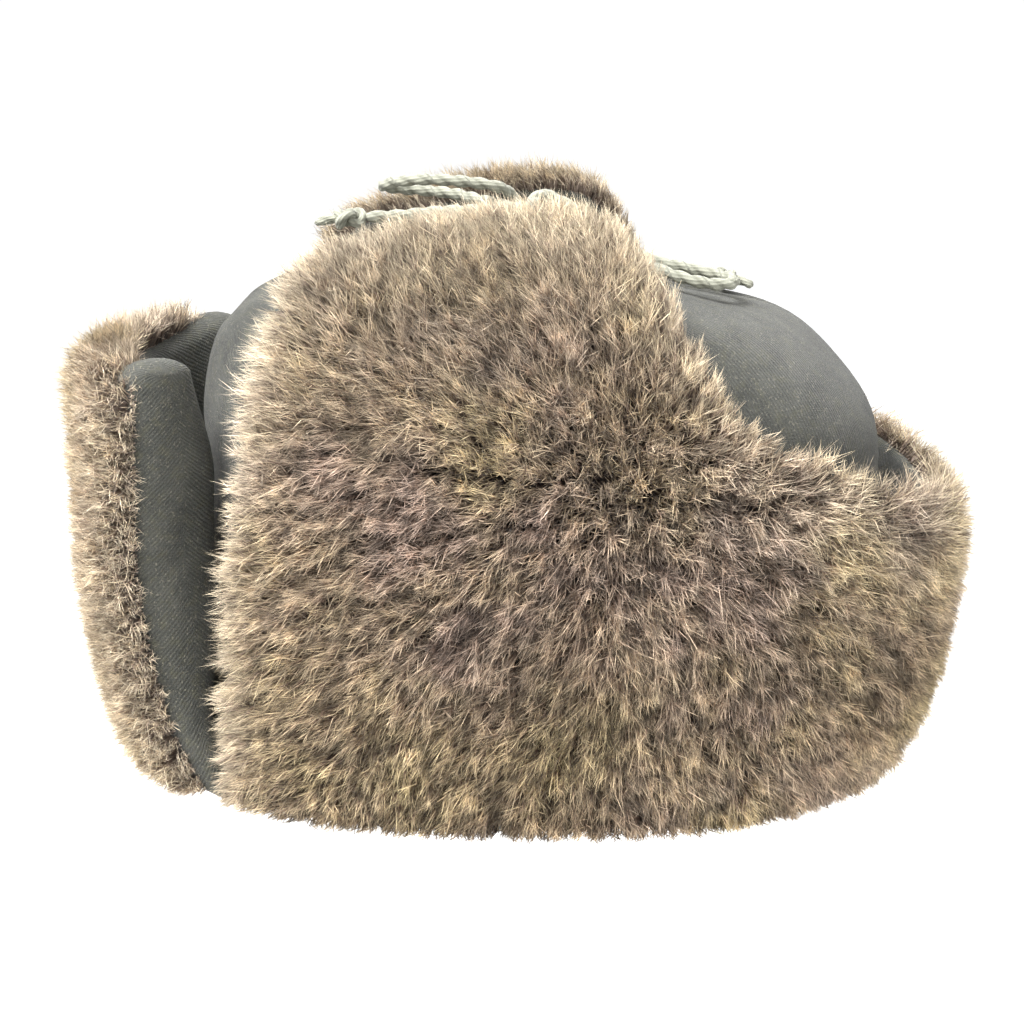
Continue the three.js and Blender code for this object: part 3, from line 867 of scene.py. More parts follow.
def padded_part(
    name,
    face,
    start,
    end,
    span,
    depth,
    material,
    columns,
    rows,
    edge=0.0019,
    extra=None,
    turn=0.0,
):
    """A pad of cloth with rounded edges, between two depths outside a face. extra adds to them."""
    angle, length, left, right, low, high = flap_grid(start, end, span, columns, rows, edge)
    near = np.minimum.reduce([left, right, low, high])
    full = edge_round(near, edge)
    low_depth, high_depth = depth
    if extra is not None:
        low_depth = low_depth + extra(np.minimum(left, right), length)
    middle = (low_depth + high_depth) / 2
    half = (high_depth - low_depth) / 2 * full
    if face is lifted_face:
        angle = trimmed(angle, length)
    outer = off_face(face, angle, length, middle + half)
    inner = off_face(face, angle, length, middle - half)
    return pillow(name, outer, inner, material, sheet_map(outer, turn), sheet_map(inner, turn))


def swell(piece, most, pressure=4.0, frames=20):
    """Blows the piece up a little as cloth over wadding, and caps how far a point moves."""
    scene = bpy.context.scene
    rest = np.array([v.co for v in piece.data.vertices])
    group = piece.vertex_groups.new(name="sewn")
    for n, weight in sewn_weights(piece):
        group.add([n], weight, "REPLACE")
    cloth = piece.modifiers.new("cloth", "CLOTH")
    cloth.settings.use_pressure = True
    cloth.settings.uniform_pressure_force = pressure
    cloth.settings.vertex_group_mass = "sewn"
    cloth.settings.quality = 4
    cloth.settings.mass = 0.2
    cloth.settings.effector_weights.gravity = 0
    cloth.point_cache.frame_start = 1
    cloth.point_cache.frame_end = frames
    for n in range(1, frames + 1):
        scene.frame_set(n)
    mesh = piece.evaluated_get(bpy.context.evaluated_depsgraph_get()).data
    blown = np.array([v.co for v in mesh.vertices])
    moved = blown - rest
    far = np.linalg.norm(moved, axis=1, keepdims=True)
    moved *= np.minimum(1, most / np.maximum(far, 1e-9))
    piece.modifiers.remove(cloth)
    piece.vertex_groups.remove(group)
    piece.data.vertices.foreach_set("co", (rest + moved).ravel())
    scene.frame_set(1)


def sewn_weights(piece):
    """Every vertex close to a seam is held fast by it."""
    return [(int(n), 1.0) for n in piece["held"]]


def hold_edges(piece, seam_points, radius):
    """Marks the vertices that lie near any of these points as held."""
    tree = KDTree(len(seam_points))
    for n, point in enumerate(seam_points):
        tree.insert(point, n)
    tree.balance()
    held = [v.index for v in piece.data.vertices if tree.find(v.co)[2] < radius]
    piece["held"] = held


def bend_tip(piece, name):
    """Attaches a piece to its part's body, unless the part is a tip; a tip's piece only has its placement
    baked into its mesh.
    """
    if not name.endswith("tip"):
        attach(piece, name_of_body[name])
        return
    side = name.split("_")[0]
    angle = 0.0 if side == "left" else math.pi
    foot = flap_face(angle, bend_length)
    way = normalised(flap_face(angle, bend_length + 0.004) - foot)
    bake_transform(piece)


# Crown
quarters = ["rear_left", "rear_right", "front_right", "front_left"]
wadding_depth = shell_cloth + gap
lining_depth = wadding_depth + crown_wadding + gap
lining_face = lining_depth + lining_cloth


def crown_grid(quarter, columns, rows):
    start = quarter * math.pi / 2
    angle = start + np.linspace(0, math.pi / 2, columns)[:, None] * np.ones((1, rows))
    climb = mixed(climb_at(rim_turn), 1.0, np.linspace(0, 1, rows))[None, :] * np.ones((columns, 1))
    return angle, climb


def crown_map(angle, climb, quarter):
    """Cloth coordinates on a gore: across from its middle line, and up along it."""
    middle = (quarter + 0.5) * math.pi / 2
    line = crown_face(middle, climb_table)
    reach = np.r_[0, np.cumsum(np.linalg.norm(np.diff(line, axis=0), axis=1))]
    up = np.interp(climb, climb_table, reach)
    face = crown_face(angle, climb)
    centre = crown_face(0.0, climb)
    radius = np.linalg.norm(face[..., :2] - np.array([0.0, 1.0]) * centre[..., 1:2], axis=-1)
    return np.stack([(angle - middle) * radius, up], -1)


def crown_fullness(angle, climb):
    """Soft unevenness of the crown over its wadding: a hollow near the top of the back."""
    face = crown_face(angle, climb)
    hollow = np.exp(-(((face - np.array([0.02, 0.098, 0.128])) / 0.017) ** 2).sum(-1))
    bulge = np.exp(-(((face - np.array([0.0, 0.078, 0.146])) / 0.022) ** 2).sum(-1))
    dip = np.exp(-(((face - np.array([0.0, 0.052, 0.152])) / 0.014) ** 2).sum(-1))
    waves = np.sin(face[..., 1] * 95 + face[..., 2] * 60) * np.sin(face[..., 0] * 80 - face[..., 2] * 45)
    return 0.0022 * hollow - 0.0028 * bulge + 0.0012 * dip + 0.0005 * waves


for quarter, name in enumerate(quarters):
    angle, climb = crown_grid(quarter, 44, 64)
    seam = np.minimum(angle - quarter * math.pi / 2, (quarter + 1) * math.pi / 2 - angle)
    crease = 0.0009 * np.exp(-((seam * 0.09 / 0.0022) ** 2))
    fullness = crown_fullness(angle, climb)
    outer = inside_crown(angle, climb, crease + fullness)
    inner = inside_crown(angle, climb, crease + fullness + shell_cloth)
    gore = pillow("crown_cloth_" + name, outer, inner, knit, crown_map(angle, climb, quarter))
    edges = [outer[0], outer[-1], outer[:, 0], outer[:, -1], inner[0], inner[-1], inner[:, 0], inner[:, -1]]
    hold_edges(gore, np.vstack(edges), 0.0012)
    swell(gore, crown_puff)
    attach(gore, "crown")
    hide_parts("crown_gore_" + name)

    angle, climb = crown_grid(quarter, 24, 30)
    fullness = crown_fullness(angle, climb)
    outer = inside_crown(angle, climb, wadding_depth + 0.0012 + fullness)
    inner = inside_crown(angle, climb, np.full_like(angle, lining_depth - gap))
    wad = pillow("crown_wadding_pad_" + name, outer, inner, felt)
    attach(wad, "crown")
    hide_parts("crown_wadding_" + name)

    angle, climb = crown_grid(quarter, 60, 90)
    cloth = crown_map(angle, climb, quarter)
    from_seam = np.minimum(angle - angle.min(), angle.max() - angle) * 0.09
    one = np.abs(np.sin(math.pi * (cloth[..., 0] + cloth[..., 1]) / quilt_pitch))
    other = np.abs(np.sin(math.pi * (cloth[..., 0] - cloth[..., 1]) / quilt_pitch))
    puff = quilt_puff * (one * other) ** 0.45 * edge_round(from_seam, 0.006)
    inner = inside_crown(angle, climb, lining_face + puff)
    outer = inside_crown(angle, climb, lining_depth)
    lining = pillow("quilted_lining_" + name, outer, inner, quilt, cloth)
    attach(lining, "crown")
    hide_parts("lining_gore_" + name)

# Flap: cloth pads and what they are padded with
for name, body, start, end in flap_parts:
    columns = max(14, round((end - start) * 30))
    rows = 44 if name.endswith("tip") else 56
    span = partial(flap_span, name)
    seam = flap_seam / rim_half_width
    depth = (0.0, flap_cloth + interlining + gap)
    cloth = padded_part(
        name + "_cloth_pad", lifted_face, start + seam, end - seam, span, depth, knit, columns, rows
    )
    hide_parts(name + "_cloth")
    bend_tip(cloth, name)
    inset = 0.0065
    inner_span = partial(inset_span, name, inset)
    turn = inset / rim_half_width
    depth = (flap_cloth * 1.35, flap_cloth + interlining - 0.0006)
    pad = padded_part(
        name + "_wadding_pad", lifted_face, start + turn, end - turn, inner_span, depth, felt, columns, rows
    )
    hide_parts(name + "_padding")
    bend_tip(pad, name)

# Visor
visor_start, visor_end = -math.pi - flap_front, flap_front


def visor_cloth_top(angle):
    """The visor's cloth with smaller top corners than the solid that stands for it."""
    half = abs(fold_point(np.array(flap_front))[0])
    from_end = np.maximum(0, half - np.abs(fold_point(angle)[..., 0]))
    short = np.maximum(0, 1 - from_end / visor_cloth_corner)
    rise = visor_cloth_rise * np.exp(-((from_end / 0.02) ** 2))
    return visor_length + rise - visor_cloth_corner * (1 - np.sqrt(1 - short * short * corner_fullness))


def visor_span(angle):
    return np.zeros_like(angle), visor_cloth_top(angle)


def visor_padding_span(angle):
    inset = 0.005
    return np.full_like(angle, inset), visor_length_at(angle) - inset


def visor_end_fullness(from_end, length):
    """The visor's padding is thicker at its ends, towards the crown."""
    end = np.exp(-((from_end / 0.02) ** 2))
    shape = smoothstep(length, 0.012, 0.06) * (1 - 0.5 * smoothstep(length, 0.098, 0.135))
    return -visor_end_swell * end * shape


visor_body = padded_part(
    "visor_cloth_pad",
    visor_face,
    visor_start,
    visor_end,
    visor_span,
    (0.0, flap_cloth + visor_padding + 0.0006),
    knit,
    84,
    66,
    edge=0.0052,
    extra=visor_end_fullness,
    turn=math.radians(62),
)
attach(visor_body, "visor")
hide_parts("visor_cloth")
visor_padding_inset = 0.06  # radians
visor_pad = padded_part(
    "visor_wadding_pad",
    visor_face,
    visor_start + visor_padding_inset,
    visor_end - visor_padding_inset,
    visor_padding_span,
    (0.0015, flap_cloth + visor_padding - 0.001),
    felt,
    40,
    30,
    edge=0.004,
)
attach(visor_pad, "visor")
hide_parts("visor_padding")


# ---- Fur ----
class Pattern:
    """A Geometry Nodes tree in the making."""

    def __init__(self, name):
        self.tree = bpy.data.node_groups.new(name, "GeometryNodeTree")
        self.tree.is_modifier = True
        self.sockets = self.tree.interface
        self.sockets.new_socket("Geometry", in_out="INPUT", socket_type="NodeSocketGeometry")
        self.sockets.new_socket("Geometry", in_out="OUTPUT", socket_type="NodeSocketGeometry")
        self.start = self.tree.nodes.new("NodeGroupInput")
        self.end = self.tree.nodes.new("NodeGroupOutput")
        self.asked = {}

    def ask(self, name, kind):
        socket = self.sockets.new_socket(name, in_out="INPUT", socket_type="NodeSocket" + kind)
        self.asked[name] = socket.identifier
        return self.start.outputs[name]

    def add(self, kind, values=None, **settings):
        """A node. Values are given by the place of the input, and links by their socket."""
        node = self.tree.nodes.new(kind)
        for key, value in settings.items():
            setattr(node, key, value)
        for place, value in (values or {}).items():
            if isinstance(value, bpy.types.NodeSocket):
                self.tree.links.new(value, node.inputs[place])
            else:
                node.inputs[place].default_value = value
        return node

    def maths(self, operation, a, b=0.0, c=0.0):
        return self.add("ShaderNodeMath", {0: a, 1: b, 2: c}, operation=operation).outputs[0]

    def vector(self, operation, a, b=(0, 0, 0)):
        return self.add("ShaderNodeVectorMath", {0: a, 1: b}, operation=operation).outputs[0]

    def scaled(self, a, by):
        return self.add("ShaderNodeVectorMath", {0: a, 3: by}, operation="SCALE").outputs[0]

    def total(self, *terms):
        found = terms[0]
        for term in terms[1:]:
            found = self.vector("ADD", found, term)
        return found

    def read(self, name, kind="FLOAT"):
        return self.add("GeometryNodeInputNamedAttribute", {0: name}, data_type=kind).outputs[0]

    def keep(self, geometry, name, kind, value):
        node = self.add("GeometryNodeStoreNamedAttribute", {0: geometry, 2: name, 3: value}, data_type=kind)
        return node.outputs[0]

    def chance(self, low, high, seed, by=None):
        values = {2: low, 3: high, 8: seed}
        if by is not None:
            values[7] = by
        return self.add("FunctionNodeRandomValue", values, data_type="FLOAT").outputs[1]

    def wander(self, seed, by=None):
        values = {0: (-1, -1, -1), 1: (1, 1, 1), 8: seed}
        if by is not None:
            values[7] = by
        return self.add("FunctionNodeRandomValue", values, data_type="FLOAT_VECTOR").outputs[0]


def fur_pattern():
    """Strands that stand on a backing, lean with its nap and draw together in tufts."""
    p = Pattern("fur_pile")
    skin = p.start.outputs["Geometry"]
    strand = p.ask("Strand", "Object")
    part = p.ask("Part", "Int")
    density = p.ask("Strands per square metre", "Float")
    tufts = p.ask("Tufts per square metre", "Float")
    seed = p.ask("Seed", "Int")
    long = p.ask("Length", "Float")
    wide = p.ask("Width", "Float")
    pull = p.ask("Tuft pull", "Float")
    frizz = p.ask("Frizz", "Float")
    curl = p.ask("Curl", "Float")
    lowest = p.ask("Lowest", "Float")
    finish = p.ask("Material", "Material")

    spread = p.add("GeometryNodeDistributePointsOnFaces", {0: skin, 4: density, 6: seed})
    centres = p.add("GeometryNodeDistributePointsOnFaces", {0: skin, 4: tufts, 6: 11}).outputs[0]
    place = p.add("GeometryNodeInputPosition").outputs[0]
    nearest = p.add("GeometryNodeSampleNearest", {0: centres, 1: place}).outputs[0]
    centre = p.add("GeometryNodeSampleIndex", {0: centres, 1: place, 2: nearest}, data_type="FLOAT_VECTOR")
    roots = p.keep(spread.outputs[0], "up", "FLOAT_VECTOR", spread.outputs[1])
    roots = p.keep(roots, "root", "FLOAT_VECTOR", place)
    roots = p.keep(roots, "pull", "FLOAT_VECTOR", p.vector("SUBTRACT", centre.outputs[0], place))
    roots = p.keep(roots, "stray", "FLOAT_VECTOR", p.wander(3))
    roots = p.keep(roots, "sway", "FLOAT_VECTOR", p.wander(4, nearest))
    roots = p.keep(roots, "tint", "FLOAT", p.chance(0.0, 1.0, 5))
    roots = p.keep(roots, "tuft", "FLOAT", p.chance(0.0, 1.0, 6, nearest))
    roots = p.keep(roots, "reach", "FLOAT", p.chance(0.78, 1.12, 8))
    other = p.add(
        "FunctionNodeCompare",
        {2: p.read("part", "INT"), 3: part},
        data_type="INT",
        operation="NOT_EQUAL",
    ).outputs[0]
    roots = p.add("GeometryNodeDeleteGeometry", {0: roots, 1: other}, domain="POINT").outputs[0]
    shape = p.add("GeometryNodeObjectInfo", {0: strand}).outputs["Geometry"]
    planted = p.add("GeometryNodeInstanceOnPoints", {0: roots, 2: shape}).outputs[0]
    grown = p.add("GeometryNodeRealizeInstances", {0: planted}).outputs[0]

    t = p.read("along")
    up = p.read("up", "FLOAT_VECTOR")
    stray = p.read("stray", "FLOAT_VECTOR")
    tuft_length = p.maths("MULTIPLY_ADD", p.read("tuft"), 0.30, 0.85)
    own_length = p.maths("MULTIPLY", p.maths("MULTIPLY", long, p.read("pile")), p.read("reach"))
    own_length = p.maths("MULTIPLY", own_length, tuft_length)
    lean = p.total(
        up,
        p.read("nap", "FLOAT_VECTOR"),
        p.scaled(p.read("sway", "FLOAT_VECTOR"), 0.34),
        p.scaled(stray, frizz),
    )
    lean = p.vector("NORMALIZE", lean)
    rise = p.maths("MULTIPLY", p.maths("MULTIPLY", t, p.maths("SUBTRACT", 1.0, t)), 0.9)
    square = p.maths("MULTIPLY", t, t)
    drawn = p.maths("MULTIPLY", p.maths("POWER", t, 1.6), pull)
    bow = p.maths("MULTIPLY", p.maths("MULTIPLY", rise, own_length), curl)
    edge_on = p.total(up, p.scaled(p.vector("MULTIPLY", stray, (-1.0, 1.0, -1.0)), 0.9))
    breadth = p.vector("NORMALIZE", p.vector("CROSS_PRODUCT", lean, edge_on))
    place = p.total(
        p.read("root", "FLOAT_VECTOR"),
        p.scaled(up, p.maths("MULTIPLY", rise, own_length)),
        p.scaled(lean, p.maths("MULTIPLY", square, own_length)),
        p.scaled(p.read("pull", "FLOAT_VECTOR"), drawn),
        p.scaled(p.vector("MULTIPLY", stray, (1.0, -1.0, -1.0)), bow),
        p.scaled(breadth, p.maths("MULTIPLY", p.read("side"), wide)),
    )
    parts = p.add("ShaderNodeSeparateXYZ", {0: place}).outputs
    height = p.maths("MAXIMUM", parts[2], p.maths("MULTIPLY_ADD", p.read("tint"), 0.002, lowest))
    place = p.add("ShaderNodeCombineXYZ", {0: parts[0], 1: parts[1], 2: height}).outputs[0]
    bent = p.add("GeometryNodeSetPosition", {0: grown, 2: place}).outputs[0]
    for name in ("up", "root", "pull", "stray", "sway", "reach", "nap", "pile", "side", "part"):
        bent = p.add("GeometryNodeRemoveAttribute", {0: bent, 1: name}).outputs[0]
    dressed = p.add("GeometryNodeSetMaterial", {0: bent, 2: finish}).outputs[0]
    p.tree.links.new(dressed, p.end.inputs[0])
    return p


def strand_shape(name, stations):
    """A flat strand of one unit's length that narrows to a point, as (along, width) stations."""
    points, faces = [], []
    for along, width in stations[:-1]:
        points += [(-width / 2, 0, along), (width / 2, 0, along)]
    points.append((0, 0, stations[-1][0]))
    last = len(stations) - 2
    for n in range(last):
        faces.append((2 * n, 2 * n + 1, 2 * n + 3, 2 * n + 2))
    faces.append((2 * last, 2 * last + 1, 2 * last + 2))
    mesh = bpy.data.meshes.new(name)
    mesh.from_pydata(points, [], faces)
    store(mesh, "along", "FLOAT", "POINT", np.array([p[2] for p in points], np.float32))
    store(mesh, "side", "FLOAT", "POINT", np.array([p[0] for p in points], np.float32))
    for face in mesh.polygons:
        face.use_smooth = True
    return bpy.data.objects.new(name, mesh)


pile_tree = fur_pattern()
pile_strand = strand_shape("pile_strand", [(0, 0.85), (0.55, 1.0), (1, 0)])
down_strand = strand_shape("down_strand", [(0, 1.0), (0.6, 0.9), (1, 0)])
coats = {
    "down": dict(
        strand=down_strand,
        density=1.7e6,
        length=0.76,
        width=0.00046,
        pull=0.25,
        frizz=0.65,
        curl=0.6,
    ),
    "pile": dict(
        strand=pile_strand,
        density=2.0e6,
        length=0.94,
        width=0.00034,
        pull=0.42,
        frizz=0.34,
        curl=0.6,
    ),
    "tips": dict(
        strand=pile_strand,
        density=1.5e6,
        length=1.08,
        width=0.00027,
        pull=0.50,
        frizz=0.26,
        curl=0.5,
    ),
}


def grow(name, skin, part, coat, long, tufts, lowest, seed):
    """One coat of fur for one part of a backing, as a plain mesh."""
    sizes = coats[coat]
    share = band_thinness if name.startswith("rim_band") else 1
    modifier = skin.modifiers.new("fur", "NODES")
    modifier.node_group = pile_tree.tree
    values = {
        "Strand": sizes["strand"],
        "Part": part,
        "Strands per square metre": sizes["density"] * share,
        "Tufts per square metre": tufts,
        "Seed": seed,
        "Length": long * sizes["length"],
        "Width": sizes["width"],
        "Tuft pull": sizes["pull"],
        "Frizz": sizes["frizz"],
        "Curl": sizes["curl"],
        "Lowest": lowest,
        "Material": fur,
    }
    for key, value in values.items():
        modifier[pile_tree.asked[key]] = value
    ready = skin.evaluated_get(bpy.context.evaluated_depsgraph_get())
    mesh = bpy.data.meshes.new_from_object(ready)
    mesh.name = name
    skin.modifiers.remove(modifier)
    piece = bpy.data.objects.new(name, mesh)
    bpy.context.scene.collection.objects.link(piece)
    return piece


def tangent_part(vectors, normals):
    return vectors - normals * (vectors * normals).sum(-1, keepdims=True)


def fur_skin(name, points, nap, pile, parts, pale=None):
    """The backing that fur grows on, with the nap's lean, the pile's height and the part."""
    columns, rows = points.shape[:2]
    mesh = bpy.data.meshes.new(name)
    mesh.from_pydata([tuple(p) for p in points.reshape(-1, 3)], [], grid_faces(columns, rows))
    store(mesh, "nap", "FLOAT_VECTOR", "POINT", nap.reshape(-1, 3).astype(np.float32))
    store(mesh, "pile", "FLOAT", "POINT", pile.ravel().astype(np.float32))
    pale = np.zeros(pile.shape) if pale is None else pale
    store(mesh, "pale", "FLOAT", "POINT", pale.ravel().astype(np.float32))
    faces = parts[:-1, :-1].ravel()
    store(mesh, "part", "INT", "FACE", faces.astype(np.int32))
    for face in mesh.polygons:
        face.use_smooth = True
    piece = bpy.data.objects.new(name, mesh)
    bpy.context.scene.collection.objects.link(piece)
    return piece


def grid_normals(points, outward):
    along = np.gradient(points, axis=0)
    up = np.gradient(points, axis=1)
    normal = normalised(np.cross(along, up))
    flip = np.sign((normal * outward).sum(-1, keepdims=True))
    return normal * np.where(flip == 0, 1, flip)


def lumps(points, scale, seed):
    """Smooth unevenness between -1 and 1, the same at every run."""
    chance = np.random.default_rng(seed)
    total = np.zeros(points.shape[:-1])
    for _ in range(14):
        way = normalised(chance.normal(size=3)) * scale * chance.uniform(0.6, 1.6)
        total += np.sin(points @ way + chance.uniform(0, 2 * math.pi))
    return total / 5


# The flap's fur, from ear to ear
whorl = np.array([0.097, 0.038, 0.098])


def flap_nap(points, normals, angle, length):
    """Which way the flap's pile leans: away from a whorl at each ear, and down at the nape."""
    left = points.copy()
    left[..., 0] = np.abs(left[..., 0])
    away = left - whorl
    far = np.linalg.norm(away, axis=-1)
    away = normalised(away)
    away[..., 0] *= np.sign(points[..., 0])
    nape = smoothstep(np.abs(angle - math.pi / 2), math.radians(62), math.radians(20))[..., None]
    down = np.array([0.0, 0.35, -0.9])
    way = normalised(tangent_part(mixed(away, down, nape), normals))
    swirl = np.stack([lumps(points, 95.0, n) for n in (1, 2, 3)], -1)
    way = normalised(way + 0.42 * tangent_part(swirl, normals))
    lean = 0.22 + 0.50 * smoothstep(far, 0.006, 0.05)
    lean = mixed(lean, 0.42, smoothstep(np.cos(angle - math.pi / 2), 0.45, 0.8))
    return way * lean[..., None]


columns, rows = 240, 84
angle = np.linspace(flap_front, math.pi - flap_front, columns)[:, None] * np.ones((1, rows))
top = flap_length(angle) - 0.001
length = mixed(0.0035, top, np.linspace(0, 1, rows)[None, :])
from_front = np.minimum(angle - flap_front, math.pi - flap_front - angle) * 0.097
from_top = top - length
turned = np.minimum(edge_round(from_front, fur_turn), edge_round(from_top, fur_turn))
turned = turned * mixed(0.95, 1, edge_round(length, 0.014))
set_back = trimmed(angle, length)
points = off_face(lifted_face, set_back, length, 0.0016 + (fur_from - 0.0016) * turned)
inner = off_face(lifted_face, set_back, length, np.zeros_like(length))
normals = grid_normals(points, points - inner)
nap = flap_nap(points, normals, angle, length)
out_front = np.exp(-((from_front / 0.006) ** 2))[..., None]
forward = np.stack([np.zeros_like(angle), -np.ones_like(angle), np.zeros_like(angle)], -1)
nap = nap + 0.75 * out_front * tangent_part(forward, normals)
out_top = np.exp(-((from_top / 0.007) ** 2))[..., None]
nape = smoothstep(np.abs(angle - math.pi / 2), math.radians(58), math.radians(40))[..., None]
inwards = mixed(normals * 0.0, -0.85 * normals, nape) + np.array([0.0, 0.0, 0.55])
nap = nap + out_top * inwards
near_fold = np.exp(-((length / 0.012) ** 2))[..., None]
nap = nap * (1 - 0.7 * near_fold) - near_fold * np.array([0.0, 0.0, 0.35])
pile = 1.0 + 0.13 * lumps(points, 70.0, 9)
at_top = mixed(0.80, 1.12, nape[..., 0])
pile = pile * mixed(at_top, 1, edge_round(from_top, 0.012)) * mixed(1.06, 1, edge_round(length, 0.016))

folded = np.where(angle > math.pi / 2, math.pi - angle, angle)
parts = np.full(angle.shape, 3)
parts[folded < neck_start] = 2
parts[folded < nape_start] = 0
parts[(folded < tip_end) & (length > bend_length)] = 1
parts = np.where(angle > math.pi / 2, 10 + parts, parts)
parts[parts == 13] = 3
# Painted highlight: the flap's fur is made paler along its front and top edges and towards the top, where
# the light falls from above. It is also made paler towards the right side.
pale = 0.75 * np.exp(-((from_front / 0.011) ** 2)) + 0.40 * np.exp(-((from_top / 0.022) ** 2))
pale = pale + 0.30 * smoothstep(-points[..., 0], 0.0, 0.05) + 0.42 * smoothstep(points[..., 2], 0.09, 0.17)
flap_skin = fur_skin("flap_fur_skin", points, nap, pile, parts, np.minimum(pale, 0.85))
part_numbers = {
    "left_ear": 0,
    "left_ear_tip": 1,
    "left_nape": 2,
    "neck": 3,
    "right_nape": 12,
    "right_ear": 10,
    "right_ear_tip": 11,
}


def backing_piece(name, skin, part):
    """The furless backing of one part, as a thin closed sheet."""
    work = bmesh.new()
    work.from_mesh(skin.data)
    layer = work.faces.layers.int["part"]
    bmesh.ops.delete(work, geom=[f for f in work.faces if f[layer] != part], context="FACES")
    bmesh.ops.recalc_face_normals(work, faces=work.faces)
    mesh = bpy.data.meshes.new(name)
    work.to_mesh(mesh)
    work.free()
    for attribute in ("nap", "pile", "part", "pale"):
        mesh.attributes.remove(mesh.attributes[attribute])
    mesh.materials.append(pale_backing if name.startswith("visor") else backing)
    piece = bpy.data.objects.new(name, mesh)
    bpy.context.scene.collection.objects.link(piece)
    thick = piece.modifiers.new("thickness", "SOLIDIFY")
    thick.thickness = 0.0008
    thick.offset = -1
    solid = piece.evaluated_get(bpy.context.evaluated_depsgraph_get())
    plain = bpy.data.meshes.new_from_object(solid)
    piece.modifiers.remove(thick)
    piece.data = plain
    return piece


def dress(piece, body, slot, *nodes):
    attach(piece, body)
    if nodes:
        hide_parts(*nodes)


def furred(name, skin, part, body, long, tufts, lowest, node):
    """Backing, down and pile of one part."""
    pieces = [backing_piece(name + "_fur_backing", skin, part)]
    for seed, coat in enumerate(coats):
        pieces.append(grow(f"{name}_fur_{coat}", skin, part, coat, long, tufts, lowest, 21 + seed))
    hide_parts(node)
    for piece in pieces:
        if name in name_of_body:
            bend_tip(piece, name)
        else:
            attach(piece, body)


for name, body, _, _ in flap_parts:
    furred(name, flap_skin, part_numbers[name], body, pile_length, flap_tufts, pile_lowest, name + "_fur")
bpy.data.objects.remove(flap_skin)

# The visor's fur
columns, rows = 110, 90
hem = visor_hem / rim_half_width
angle = np.linspace(visor_start + hem, visor_end - hem, columns)[:, None] * np.ones((1, rows))
top = visor_length_at(angle)
climb = np.linspace(0, 1, rows)[None, :] * np.ones((columns, 1))
over = 0.0085  # how far the fur turns over the top edge
length = mixed(0.003, top, np.minimum(climb * 1.08, 1))
turned = smoothstep(climb, 1 / 1.08, 1.0)
depth = visor_fur_from * mixed(0.75, 1, edge_round(length, 0.016)) - over * turned
from_end = np.minimum(angle - angle.min(), angle.max() - angle) * 0.09
depth = depth - 0.0022 * (1 - edge_round(from_end, 0.007))
points = off_face(visor_face, angle, np.minimum(length, top), depth)
points[..., 2] += 0.002 * np.sin(turned * math.pi)
inner = off_face(visor_face, angle, length * 0.9, np.zeros_like(length) - 0.002)
normals = grid_normals(points, points - inner)
swirl = np.stack([lumps(points, 90.0, n) for n in (31, 32, 33)], -1)
sideways = np.sign(points[..., :1]) * np.array([0.55, 0.0, 0.0])
way = normalised(tangent_part(np.array([0.0, -0.2, 0.75]) + sideways, normals))
way = normalised(way + 0.5 * tangent_part(swirl, normals))
visor_lean = 0.24 + 0.30 * smoothstep(length, 0, 0.06)
to_seam = np.exp(-((from_end / 0.009) ** 2))[..., None]
seamward = normalised(tangent_part(np.sign(points[..., :1]) * np.array([1.0, 0.0, 0.0]), normals))
nap = mixed(way * visor_lean[..., None], seamward * 0.45, to_seam * 0.85)
pile = 1.0 + 0.13 * lumps(points, 70.0, 39)
pile = pile * mixed(0.52, 1, edge_round(from_end, 0.014)) * mixed(0.8, 1, edge_round(length, 0.012))
half = np.where(points[..., 0] > 0, 1, 0)
pale = np.full(angle.shape, 0.46) + 0.42 * np.exp(-((from_end / 0.012) ** 2))
visor_skin = fur_skin("visor_fur_skin", points, nap, pile, half, pale)
for half, side_name in enumerate(("right", "left")):
    name = "visor_" + side_name
    furred(name, visor_skin, half, "visor", visor_pile, flap_tufts, pile_lowest, "visor_fur")
bpy.data.objects.remove(visor_skin)

# The fur band inside the rim
columns, rows = 150, 22
angle = np.linspace(2 * math.pi, 0, columns)[:, None] * np.ones((1, rows))  # so the pile stands inwards
section = along_curve(
    [
        (0.0012, 0.0030),
        (0.0045, 0.0026),
        (0.0085, 0.0030),
        (0.0098, 0.0060),
        (0.0098, 0.0130),
        (0.0096, 0.0200),
        (0.0078, 0.0235),
    ],
    np.linspace(0, 1, rows),
)
all_round = np.ones((columns, 1))
climb = climb_at(np.maximum(section[:, 1], 0.001))[None, :] * all_round
foot = inside_crown(angle, climb, section[:, 0][None, :] * all_round)
foot[..., 2] = section[:, 1]
inward = np.zeros_like(foot)
inward[..., :2] = -foot[..., :2]
normals = grid_normals(foot, inward - np.array([0, 0, 0.02]))
swirl = np.stack([lumps(foot, 90.0, n) for n in (51, 52, 53)], -1)
nap = 0.5 * normalised(tangent_part(swirl + np.array([0, 0, 0.5]), normals))
pile = np.ones(angle.shape)
band_skin = fur_skin("band_fur_skin", foot, nap, pile, np.zeros(angle.shape))
furred("rim_band", band_skin, 0, "crown", band_pile, band_tufts, pile_lowest, "rim_fur_band")
bpy.data.objects.remove(band_skin)

# ---- Folds of cloth from the crown's rim to the flap's foot and the visor's ----
binding_height = 0.0068
binding_half_thickness = 0.00016
fold_arc = math.radians(8)


